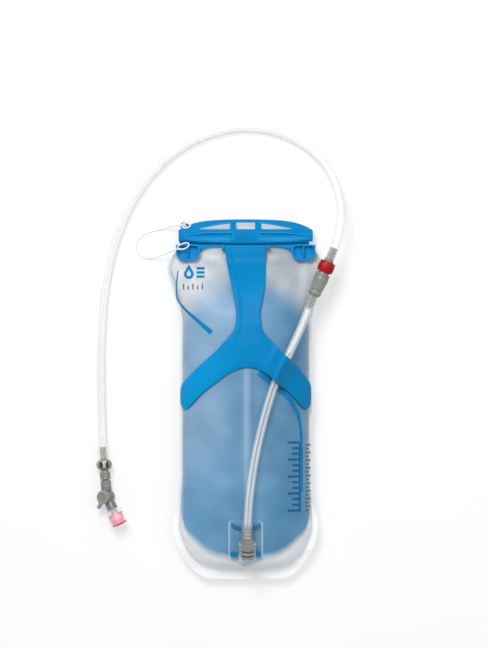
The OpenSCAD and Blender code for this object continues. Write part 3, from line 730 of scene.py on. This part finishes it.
def film(name, z_of, mat, flip, up):
    """One sheet of the bag, with its masks for tint, band, weld and wings."""
    ys = rows_of()
    X = np.array([cols_of(y) for y in ys])
    Y = np.repeat(ys[:, None], X.shape[1], axis=1)
    gap = edge_gap(X, Y)
    Z = skin(X, Y, z_of, up)
    nr, nc = X.shape
    o = make(name, np.stack([X, Y, Z], axis=2).reshape(-1, 3) * MM,
             grid_faces(nr, nc, flip=flip), mat)
    # Where the contents show through
    fill_top = 139 - 0.0082 * X**2 + 5 * wave(X, Y, 21, 60)
    foot = pchip(FOOT, np.abs(X))
    tint = ((1 - step(-24, 14, Y - fill_top)) * step(-4, 10, Y - foot)
            * step(-3.5, 4.0, gap + 0.8 * wave(X, Y, 12, 30)))
    pale = sum(np.exp(-((X - a)**2 + (Y - b)**2) / (c * c)) for a, b, c in PATCHES)
    # Partly the water's depth, partly painted shade from the left-hand light
    shade = np.clip(pchip(SHADE, X) * (1 - 0.22 * step(50, 130, -Y)) - 0.12 * step(20, 90, Y)
                    + 0.07 * wave(X, Y, 31, 52) - 0.22 * pale, 0, 1)
    # The pale band down the middle is the web behind the film
    mid = 0.5 + 3.0 * step(60, 120, -Y)
    band = np.exp(-((X - mid) / 3.3)**4) * (1 - step(30, 44, Y)) * step(-134, -122, Y) * 0.55
    set_mask(o, "tint", tint.ravel())
    set_mask(o, "shade", shade.ravel())
    set_mask(o, "low", step(20, 130, -Y).ravel())
    set_mask(o, "band", (band if up > 0 else band * 0.8).ravel())
    set_mask(o, "body", np.maximum(tint, 0.62 * step(84, 112, Y)).ravel())
    set_mask(o, "wing", (step(84, 112, Y) * (1 - step(-1, 5, gap))).ravel())
    # The weld's two lines, and its plain frost between and beyond them; below the water the
    # foot's film is near-white too, partly its own frost and partly painted light on its
    # shaded slope
    line = np.exp(-((gap + 0.6) / 0.9)**2) + np.exp(-((gap + 6.5) / 0.8)**2)
    wing = step(90, 125, Y)
    sides = step(-128, -100, Y)
    plain_frost_and_light = (1 - step(-2.5, 1.0, gap)) * (0.72 - 0.24 * sides - 0.38 * wing)
    # Painted light: the foot below the water is lightened against the shade of its slope, as
    # well as being pale frost
    plain_frost_and_light = np.maximum(plain_frost_and_light, 1.0 * (1 - tint) * step(96, 136, -Y))
    set_mask(o, "weld", np.clip(plain_frost_and_light + (0.4 - 0.2 * wing) * line, 0, 1).ravel())
    return o


front = film("front_film", front_z, FILM, False, 1.0)
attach(front, "bag")
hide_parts("front_panel")
back = film("back_film", back_z, BACK_FILM, True, -1.0)
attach(back, "bag")
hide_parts("back_panel")


# The water's half-width by y, where it is narrower than the bag
WATER_W = [[-184.5, 3], [-180, 8], [-175, 28], [-168, 43], [-159, 54], [-148, 63],
           [-132, 68.5], [-110, 67.5], [60, 70], [80, 66], [95, 58], [108, 45], [118, 28],
           [122, 16]]


def water():
    """The contents: a closed body a little inside both films."""
    ys = np.concatenate([np.linspace(-184.5, -168, 12), np.linspace(-164, 122, 60)])
    u = np.sin(np.linspace(-math.pi / 2, math.pi / 2, 41))
    X = np.array([min(0.955 * float(inner_w(y)), float(pchip(WATER_W, y))) * u for y in ys])
    Y = np.repeat(ys[:, None], X.shape[1], axis=1)
    seam = seam_z(Y)
    top = np.maximum(front_z(X, Y) - 1.6, seam + 0.3)
    low = np.minimum(back_z(X, Y) + 1.4, seam - 0.3)
    nr, nc = X.shape
    v = np.concatenate([np.stack([X, Y, top], 2).reshape(-1, 3),
                        np.stack([X, Y, low], 2).reshape(-1, 3)]) * MM
    n = nr * nc
    f = grid_faces(nr, nc) + grid_faces(nr, nc, n, True)
    for j in range(nc - 1):
        f.append((j + 1, j, n + j, n + j + 1))
        k = (nr - 1) * nc + j
        f.append((k, k + 1, n + k + 1, n + k))
    for i in range(nr - 1):
        k = i * nc
        f.append((k, k + nc, n + k + nc, n + k))
        k += nc - 1
        f.append((k + nc, k, n + k, n + k + nc))
    return make("water_body", v, f, WATER)


contents = water()
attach(contents, "bag")
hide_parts("water_charge")


# ---------------------------------------------------------------- small film pieces
def strip_film(name, node, profile, axis, swing, seed):
    """A strip of film along x (axis 0) or y (axis 1), from (across, z) points."""
    lo, hi = (np.array(v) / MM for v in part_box(node))
    along = np.linspace(lo[axis], hi[axis], 73)
    p = np.asarray(profile, float)
    A = np.repeat(along[:, None], len(p), axis=1)
    B = np.repeat(p[None, :, 0], len(along), axis=0)
    Z = np.repeat(p[None, :, 1], len(along), axis=0)
    B = B + swing * wave(A, Z, seed, 34)
    xyz = [B, A, Z] if axis == 1 else [A, B, Z]
    o = make(name, np.stack(xyz, axis=2).reshape(-1, 3) * MM,
             grid_faces(len(along), len(p)), BACK_FILM)
    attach(o, "bag")
    return o


# The web that holds the two films together down the middle
lo, hi = (np.array(v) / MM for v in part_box("centre_baffle"))
rise = np.linspace(lo[2], hi[2] - 0.4, 15)
web = [(0.0, z) for z in rise]
head = [(x, hi[2] - 0.25 - 0.012 * x * x)
        for x in np.linspace(lo[0] + 0.3, hi[0] - 0.3, 9)]
web_sheet = strip_film("centre_web", "centre_baffle", web, 1, 0.10, 41)
web_head = strip_film("centre_web_head", "centre_baffle", head, 1, 0.12, 43)
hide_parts("centre_baffle")

# The mouth of the bag, turned over once inside the closer
lo, hi = (np.array(v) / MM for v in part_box("mouth_fold"))
mid, half = 0.5 * (lo[2] + hi[2]), 0.5 * (hi[2] - lo[2]) - 0.1
turn = np.linspace(-math.pi / 2, math.pi / 2, 9)
fold = [(y, mid - half) for y in np.linspace(lo[1] + 0.1, hi[1] - 1.0, 9)]
fold += [(hi[1] - 1.0 + 0.8 * math.cos(a), mid + half * math.sin(a)) for a in turn]
fold += [(y, mid + half) for y in np.linspace(hi[1] - 1.0, lo[1] + 0.1, 9)]
mouth = strip_film("mouth_turned_film", "mouth_fold", fold, 0, 0.06, 47)
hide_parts("mouth_fold")


# ---------------------------------------------------------------- prints on the film
PRINT_LIFT = 0.34
# A printed line's rows across its width
ACROSS = (-0.5, -0.25, 0.0, 0.25, 0.5)
# Points round the drop
DROP_N = 40


def on_film(x, y):
    """Points just above the front film."""
    x, y = np.asarray(x, float), np.asarray(y, float)
    return np.stack([x, y, skin(x, y, front_z, 1.0) + PRINT_LIFT], axis=-1) * MM


def ribbon(points, widths):
    """A printed line of varying width that lies on the front film."""
    line, _ = even(spline([[x, y, 0] for x, y in points], 8), 1.2)
    w = np.interp(np.linspace(0, 1, len(line)), np.linspace(0, 1, len(widths)), widths)
    t = np.gradient(line[:, :2], axis=0)
    t /= np.linalg.norm(t, axis=1)[:, None]
    n = np.stack([-t[:, 1], t[:, 0]], axis=1)
    rows = [line[:, :2] + n * (w * k)[:, None] for k in ACROSS]
    X = np.stack([r[:, 0] for r in rows], 1)
    Y = np.stack([r[:, 1] for r in rows], 1)
    return on_film(X, Y).reshape(-1, 3), grid_faces(len(line), len(ACROSS), flip=True)


def join(parts):
    """Several (points, faces) pairs as one."""
    v, f = [], []
    for pv, pf in parts:
        k = len(v)
        v.extend(list(pv))
        f.extend([tuple(i + k for i in q) for q in pf])
    return v, f


def bar(x0, x1, y0, y1):
    """A printed rectangle, fine enough to follow the film."""
    nx = max(3, int(abs(x1 - x0) / 0.8) + 2)
    ny = max(3, int(abs(y1 - y0) / 0.8) + 2)
    X, Y = np.meshgrid(np.linspace(x0, x1, nx), np.linspace(y0, y1, ny))
    return on_film(X, Y).reshape(-1, 3), grid_faces(ny, nx)


def drop(cx, cy, r):
    """A plain drop, open in the middle: rings from its inner to its outer edge."""
    a = np.linspace(0, 2 * math.pi, DROP_N, endpoint=False)
    tip = np.maximum(np.cos(a), 0) ** 3
    ox = r * np.sin(a) * (1 - 0.55 * tip)
    oy = r * np.cos(a) + r * 0.9 * tip
    sizes = (0.45, 0.75, 1.0)
    v = [q for k in sizes for q in on_film(cx + ox * k, cy + oy * k)]
    return v, ring_faces(len(sizes), DROP_N, flip=True)


def printed(name, parts, mat):
    p = make(name, *join(parts), mat)
    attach(p, "bag")


printed("print_stripes", [
    ribbon([(-74.5, 141), (-76, 128), (-76, 114), (-73, 106.5), (-66, 98), (-57.6, 90.5),
            (-47.6, 82), (-37.5, 73)], [1.3, 1.4, 1.6, 1.9, 2.6, 3.6, 4.6, 5.2]),
    ribbon([(14, 29.5), (24, 21), (36, 11), (46.5, 2), (53, -8), (57.5, -17), (60.5, -34),
            (61.6, -61), (61.8, -101)], [5.6, 5.4, 5.0, 4.2, 3.2, 2.6, 2.0, 1.7, 1.6])],
        INK_BLUE)

marks = [drop(-62.5, 137.6, 5.4)]
marks += [bar(-54, -45.2, 133.4 + 4.6 * k, 136.2 + 4.6 * k) for k in range(3)]
printed("print_drop", marks, INK_BLUE)

# Two rows of graduation ticks up the right side, and short ones under the drop
scale_a = [bar(58.4, 60.2, -123, -47)]
scale_a += [bar(60.2 - (14.0 if k % 3 == 0 else 9.0), 58.6, -122.6 + 6.2 * k, -120.2 + 6.2 * k)
            for k in range(13)]
printed("print_scale", scale_a, INK_NAVY)

scale_b = [bar(66, 66 + (5.4 if k % 2 else 3.6), -122.4 + 4.2 * k, -120.8 + 4.2 * k)
           for k in range(18)]
scale_b += [bar(-69 + 5.2 * k, -67.6 + 5.2 * k, 120.6, 120.6 + (6.2 if k % 2 == 0 else 4.0))
            for k in range(5)]
printed("print_ticks", scale_b, INK_GREY)


# ---------------------------------------------------------------- forked retainer
STEM = [[22.4, 169], [22.6, 164], [21.6, 150], [19.3, 131], [15.5, 109], [13.4, 95],
        [13.9, 85], [15.5, 77], [19.4, 71], [26.6, 63], [34.7, 54]]
ARM = [[34.7, 54], [49, 41], [58, 32], [66, 23], [70.4, 17], [71.8, 10], [71.9, 0],
       [71.6, -4], [69.6, -9], [66, -11], [62, -8.5], [48, 6.5], [35, 17], [23, 27],
       [13, 32], [5.4, 34.4], [0, 34.8]]
ARM_LOW = [[0, 51.3], [20, 50.8], [35, 48.4], [42, 46.6], [50, 43.8], [58, 39], [64, 33],
           [68, 28.5], [72, 23.5], [74, 20]]
# Half-width of the sunk panel of the stem
PANEL = [[40, 26], [60, 17], [72, 10.5], [84, 7.9], [95, 7.9], [112, 9.7], [142, 13.6],
         [166, 16.4]]
YOKE_T = 2.8
# The stem never lies lower than this, and clears the film by the second value
STEM_Z, STEM_GAP = 14.2, 1.1
# The way the lower hose goes when its plug is pulled, and how high the right arm
# stands above its own plane along the hose at each stage of the pull
PULL = np.array([0.0, 0.970296, 0.241922])
ARCH = ((0.0, 10.5), (5.0, 12.6), (10.0, 14.8))
ARCH_WIDE = 9.8
EDGE_R = 1.15
PIN_Y, PIN_Z, PIN_R = 167.4, 15.6, 1.6


def to_line(px, py, a, b):
    """Distance from each point to the line from a to b."""
    d = b - a
    f = np.clip(((px - a[0]) * d[0] + (py - a[1]) * d[1]) / (d @ d), 0, 1)
    return np.hypot(px - a[0] - f * d[0], py - a[1] - f * d[1])


def fork_ring():
    """The retainer's outline as an even, closed ring of points."""
    half = np.concatenate([spline([[a, b, 0] for a, b in STEM], 6)[:-1, :2],
                           spline([[a, b, 0] for a, b in ARM], 8)[:, :2]])
    half = half[half[:, 1] < PIN_Y]
    loop = np.concatenate([half, (half * [-1, 1])[::-1][1:]])
    pts, _ = even(np.column_stack([loop, loop[:, 0] * 0]), 1.15)
    pts = pts[:, :2]
    # Close along the top, over the hinge pin
    n_top = 36
    top = np.stack([np.linspace(pts[-1, 0], pts[0, 0], n_top)[1:-1],
                    np.full(n_top - 2, pts[0, 1])], axis=1)
    return np.concatenate([pts, top])


def edge_dist(ring, p):
    d = np.full(len(p), 1e9)
    for a, b in zip(ring, np.roll(ring, -1, axis=0)):
        d = np.minimum(d, to_line(p[:, 0], p[:, 1], a, b))
    return d


def inside(ring, p):
    c = np.zeros(len(p), bool)
    for a, b in zip(ring, np.roll(ring, -1, axis=0)):
        hit = (a[1] > p[:, 1]) != (b[1] > p[:, 1])
        with np.errstate(divide="ignore", invalid="ignore"):
            x = (b[0] - a[0]) * (p[:, 1] - a[1]) / (b[1] - a[1]) + a[0]
        c ^= hit & (p[:, 0] < x)
    return c


def fork_triangles(ring):
    """The ring, three rows just inside it and a staggered grid, triangulated."""
    tan = np.roll(ring, -1, axis=0) - np.roll(ring, 1, axis=0)
    nor = np.stack([-tan[:, 1], tan[:, 0]], axis=1)
    nor /= np.linalg.norm(nor, axis=1)[:, None]
    if not inside(ring, ring[5:6] + nor[5:6] * 0.5)[0]:
        nor = -nor
    layers = [ring]
    for off in (0.25, 0.6, 1.1):
        q = ring + nor * off
        layers.append(q[(edge_dist(ring, q) > off * 0.92) & inside(ring, q)])
    gap = 1.7
    gx, gy = np.meshgrid(np.arange(-72, 72.1, gap), np.arange(-11, 168, gap))
    stagger = 0.5 * gap * (np.arange(gx.size) // gx.shape[1] % 2)
    g = np.stack([gx.ravel() + stagger, gy.ravel()], 1)
    g = g[inside(ring, g)]
    layers.append(g[edge_dist(ring, g) > 2.0])
    flat = [Vector(q) for q in np.concatenate(layers)]
    out = delaunay_2d_cdt(flat, [], [list(range(len(ring)))], 1, 1e-5)
    return np.array([[v.x, v.y] for v in out[0]]), out[2]


def fork_heights(x, y, d):
    """The retainer's top and underside; d is each point's distance from its edge."""
    rise = np.maximum(pchip(CROWN, y), seam_z(y) + 0.5) + STEM_GAP - STEM_Z
    stem = STEM_Z + 0.5 * (rise + np.sqrt(rise**2 + 12.0))
    arm = pchip(ARM_LOW, np.abs(x))
    w = step(46, 74, y)
    low = arm * (1 - w) + stem * w
    # The right arm arches softly over the hose, wherever the pull takes it
    route = spline(LOWER, 6)
    route = route[(route[:, 1] > -40) & (route[:, 1] < 90)]
    bridge = np.zeros(len(x))
    for pull, high in ARCH:
        dh = np.full(len(x), 1e9)
        for a, b in zip(route[:-1] + pull * PULL, route[1:] + pull * PULL):
            dh = np.minimum(dh, to_line(x, y, a[:2], b[:2]))
        bridge += (high * np.exp(-(dh / ARCH_WIDE)**2))**8
    low = low + bridge**0.125 * (1 - step(56, 66, y)) * step(8, 20, x)
    # Sunk middle panel with a crease each side, and softly falling edges
    flange = 0.95 * step(-0.7, 0.7, np.abs(x) - pchip(PANEL, y)) * step(58, 74, y)
    fall = 0.7 * (1 - step(0, 8, d)) * (1 - step(66, 78, y))
    soft = EDGE_R - np.sqrt(np.maximum(EDGE_R * EDGE_R
                                       - np.maximum(EDGE_R - d, 0)**2, 0))
    top_z = low + YOKE_T - 0.7 * step(58, 74, y) + flange - fall - soft
    low_z = low + np.minimum(soft, 0.8) * 0.6
    return top_z, np.minimum(low_z, top_z - 0.5)


def retainer():
    """The forked retainer: one smooth sheet with two sides and a closed rim."""
    ring = fork_ring()
    P2, tris = fork_triangles(ring)
    y = P2[:, 1]
    top_z, low_z = fork_heights(P2[:, 0], y, edge_dist(ring, P2))
    # The neck stands a little to the right of the middle
    P2[:, 0] += 3.0 * step(4, 48, y) * (1 - step(116, 166, y))
    v = np.concatenate([np.column_stack([P2, top_z]), np.column_stack([P2, low_z])]) * MM
    m = len(P2)
    f, edges = [], {}
    for a, b, c in tris:
        ar = ((P2[b, 0] - P2[a, 0]) * (P2[c, 1] - P2[a, 1])
              - (P2[b, 1] - P2[a, 1]) * (P2[c, 0] - P2[a, 0]))
        if ar < 0:
            b, c = c, b
        f.append((a, b, c))
        f.append((m + c, m + b, m + a))
        edges.update({(a, b): 1, (b, c): 1, (c, a): 1})
    f += [(b, a, m + a, m + b) for a, b in edges if (b, a) not in edges]
    return make("retainer_fork", v, f, FORK_BLUE)


fork = retainer()
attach(fork, "retainer")
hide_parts("yoke")


def pin():
    """The retainer's hinge pin, with small rounded ends."""
    x = np.concatenate([np.linspace(-26.4, -25.6, 4), np.linspace(-25, 25, 24),
                        np.linspace(25.6, 26.4, 4)])
    r = PIN_R - np.clip(np.abs(x) - 25.6, 0, 0.8) * 0.5
    line = np.stack([x, np.full(len(x), PIN_Y), np.full(len(x), PIN_Z)], 1) * MM
    return tube("retainer_pin", line, r * MM, None, BLUE, sides=28)


hinge = pin()
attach(hinge, "retainer")


# ---------------------------------------------------------------- CAD pieces
WELD_GAP = 0.00002
ROUND_ANGLE = 30
# How far each piece's edges are rounded, in mm; 0 leaves them as they are
ROUNDING = {
    "slider": 0.8, "closure_rail": 0.5, "outlet_base": 0.3, "outlet_socket": 0.3,
    "outlet_clips": 0.4, "outlet_plug": 0.25, "coupler_body": 0.25, "coupler_plug": 0.2,
    "coupler_collar": 0.35, "hose_barb": 0.2, "magnet_housing": 0.3, "magnet": 0.3,
    "swivel_sleeve": 0.2, "valve_body": 0.3, "shutoff_dial": 0.3, "bite_ring": 0.4,
    "bite_core": 0.4, "bite_sheath": 0.4, "shutoff_barrel": 0, "outlet_o_rings": 0,
    "coupler_o_ring": 0}


def weld(o, name):
    """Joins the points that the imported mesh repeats."""
    o.modifiers.new(name, "WELD").merge_threshold = WELD_GAP


def soften(node, width):
    """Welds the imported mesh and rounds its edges, as moulded parts are."""
    o = CAD[node]
    o.data.polygons.foreach_set("use_smooth", [True] * len(o.data.polygons))
    weld(o, "weld")
    if width:
        b = o.modifiers.new("round", "BEVEL")
        b.width = width * MM
        b.segments = 2
        b.limit_method = "ANGLE"
        b.angle_limit = math.radians(ROUND_ANGLE)
        b.harden_normals = False
        b.use_clamp_overlap = True
    e = o.modifiers.new("split", "EDGE_SPLIT")
    e.split_angle = math.radians(ROUND_ANGLE + 8)


def paint(mat, *names):
    for n in names:
        CAD[n].data.materials.clear()
        CAD[n].data.materials.append(mat)


paint(BLUE, "closure_rail", "outlet_clips")
paint(CLOSER_BLUE, "slider")
paint(CLEAR, "outlet_base", "outlet_socket")
paint(GREY, "outlet_plug", "coupler_body", "coupler_plug")
paint(WARM, "hose_barb", "magnet_housing", "swivel_sleeve", "shutoff_dial")
paint(COOL, "valve_body")
paint(DARK, "shutoff_barrel")
paint(SEAL, "outlet_o_rings", "coupler_o_ring")
paint(RED, "coupler_collar")
paint(RING_RED, "bite_ring")
paint(STEEL, "magnet")
paint(PINK, "bite_core")
paint(SHEATH, "bite_sheath")


def clear_edges(node, at_edge):
    """Clear plastic shows at its edges: those faces get the denser, paler material, partly the
    thicker plastic seen there and partly a painted highlight.
    """
    CAD[node].visible_shadow = False
    me = CAD[node].data
    me.materials.append(CLEAR_EDGE)
    for q in me.polygons:
        q.material_index = 1 if at_edge(q.normal, q.center) else 0


clear_edges("outlet_base", lambda n, c: (abs(n.z) < 0.9 or abs(c.x) > 0.0172
                                         or not -0.174 < c.y < -0.1325))
clear_edges("outlet_socket", lambda n, c: abs(n.x) > 0.82 or abs(n.y) > 0.8)


def pale_dial():
    """The shut-off dial's lever and outer edge are paler than its face."""
    me = CAD["shutoff_dial"].data
    me.materials.append(PALE)
    lo, hi = (np.array(v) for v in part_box("shutoff_barrel"))
    hub = 0.5 * (lo + hi)
    for q in me.polygons:
        out = math.hypot(q.center.x - hub[0], q.center.y - hub[1])
        q.material_index = 1 if out > 0.0062 or (out > 0.0048 and q.normal.z < 0.7) else 0


pale_dial()

# Heights of the closer's front and of its handle
FACE_Z, HANDLE_Z = 16.0, 12.3
# The finger panels: depth, half-height, half-length, middle and rim height
DISH_DEEP, DISH_HIGH, DISH_LONG = 1.75, 5.2, 25.5
DISH_X, DISH_Y, DISH_Z = 39.5, 178.9, 16.1


def dish_cutter(name, sign):
    """A long lens that hollows a finger panel into the closer's front, by a Boolean."""
    around = np.linspace(0, 2 * math.pi, 72, endpoint=False)
    # Rings from the deepest point out to the rim, then one above the face
    levels = [(k, DISH_Z - DISH_DEEP * (1 - k * k)) for k in np.linspace(0.08, 1.0, 12)]
    levels.append((1.16, DISH_Z + DISH_DEEP * 0.55))
    verts = []
    for k, z in levels:
        for t in around:
            x = DISH_X + DISH_LONG * k * math.cos(t)
            # Lower towards the middle of the closer, as its front is
            lean = 0.75 + 0.25 * (x - 14) / 51
            y = DISH_Y + 0.02 * (x - DISH_X) + DISH_HIGH * k * math.sin(t) * lean
            verts.append((sign * x, y, z))
    m = len(around)
    faces = ring_faces(len(levels), m)
    faces.append(tuple(range(m))[::-1])
    faces.append(tuple((len(levels) - 1) * m + j for j in range(m)))
    if sign < 0:
        # The mirrored cutter's faces are turned over
        faces = [f[::-1] for f in faces]
    me = bpy.data.meshes.new(name)
    me.from_pydata([tuple(np.array(v) * MM) for v in verts], [], faces)
    bm = bmesh.new()
    bm.from_mesh(me)
    bmesh.ops.recalc_face_normals(bm, faces=bm.faces)
    bm.to_mesh(me)
    bm.free()
    o = bpy.data.objects.new(name, me)
    bpy.context.scene.collection.objects.link(o)
    o.parent = CAD["slider"]
    o.hide_render = True
    o.hide_viewport = True
    return o


def lip(name, corners, z, r):
    """A raised lip round one of the closer's windows or finger panels; its paler blue is a
    painted highlight.
    """
    pts = np.array([[a, b, z] for a, b in corners + corners[:1]], float)
    part = np.linspace(0.06, 0.94, 12)[:, None]
    line = np.concatenate([pts[i] + (pts[i + 1] - pts[i]) * part
                           for i in range(len(corners))])
    line = np.concatenate([line, line[:1]])
    o = tube(name, line * MM, r * MM, None, LIP_HIGHLIGHT, sides=10)
    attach(o, "slide_closer")


weld(CAD["slider"], "weld_first")
for side, sign in (("left", -1), ("right", 1)):
    cut = CAD["slider"].modifiers.new("dish_" + side, "BOOLEAN")
    cut.operation = "DIFFERENCE"
    cut.solver = "EXACT"
    cut.object = dish_cutter("dish_cutter_" + side, sign)

SLOT = [(-10.8, 186.7), (10.8, 186.7), (10.8, 195.0), (-10.8, 195.0)]
WINDOW = [(16.6, 186.7), (51.6, 186.7), (50.5, 188.7), (36, 191.7), (26, 193.5), (16.6, 194.6)]
FINGER = [(14.2, 175.2), (34, 174.6), (65, 176.6), (67.6, 180.6), (40, 183.2), (14.2, 183.4)]
lip("closer_lip_slot", SLOT, HANDLE_Z, 0.7)
for sign, side in ((-1, "left"), (1, "right")):
    lip("closer_lip_" + side, [(sign * x, y) for x, y in WINDOW], HANDLE_Z, 0.65)
    lip("closer_dish_" + side, [(sign * x, y) for x, y in FINGER], FACE_Z, 0.6)

for name, width in ROUNDING.items():
    soften(name, width)


# ---------------------------------------------------------------- floor and light
def floor():
    m, t, s = new_mat("studio_floor")
    t.links.new(ramp(t, noise(t, 3.0, 2.0), 0.3, 0.7, srgb(166, 166, 166),
                     srgb(169, 169, 169)), s.inputs["Base Color"])
    s.inputs["Roughness"].default_value = 0.9
    s.inputs["Specular IOR Level"].default_value = 0.1
    s.inputs["Emission Color"].default_value = (1.0, 1.0, 1.0, 1.0)
    s.inputs["Emission Strength"].default_value = 0.5
    o = make("studio_floor", [(-6, -6, 0), (6, -6, 0), (6, 6, 0), (-6, 6, 0)],
             [(0, 1, 2, 3)], m, False)


floor()

world = bpy.data.worlds.new("studio")
bpy.context.scene.world = world
world.use_nodes = True
backdrop = world.node_tree.nodes["Background"]
backdrop.inputs["Color"].default_value = (1.0, 1.0, 1.0, 1.0)
backdrop.inputs["Strength"].default_value = 0.55


def area(name, at, target, size, power):
    """A soft white rectangular light at one point, aimed at another."""
    d = bpy.data.lights.new(name, "AREA")
    d.shape = "RECTANGLE"
    d.size, d.size_y = size
    d.energy = power
    o = bpy.data.objects.new(name, d)
    bpy.context.scene.collection.objects.link(o)
    o.location = at
    o.rotation_euler = (Vector(target) - Vector(at)).to_track_quat("-Z", "Y").to_euler()


area("key", (-0.42, 1.05, 1.7), (0, 0.05, 0.02), (0.8, 0.8), 34.0)
area("fill", (1.0, 0.3, 1.6), (0, 0.05, 0.02), (1.2, 1.2), 7.0)
bpy.context.scene.view_settings.view_transform = "Standard"
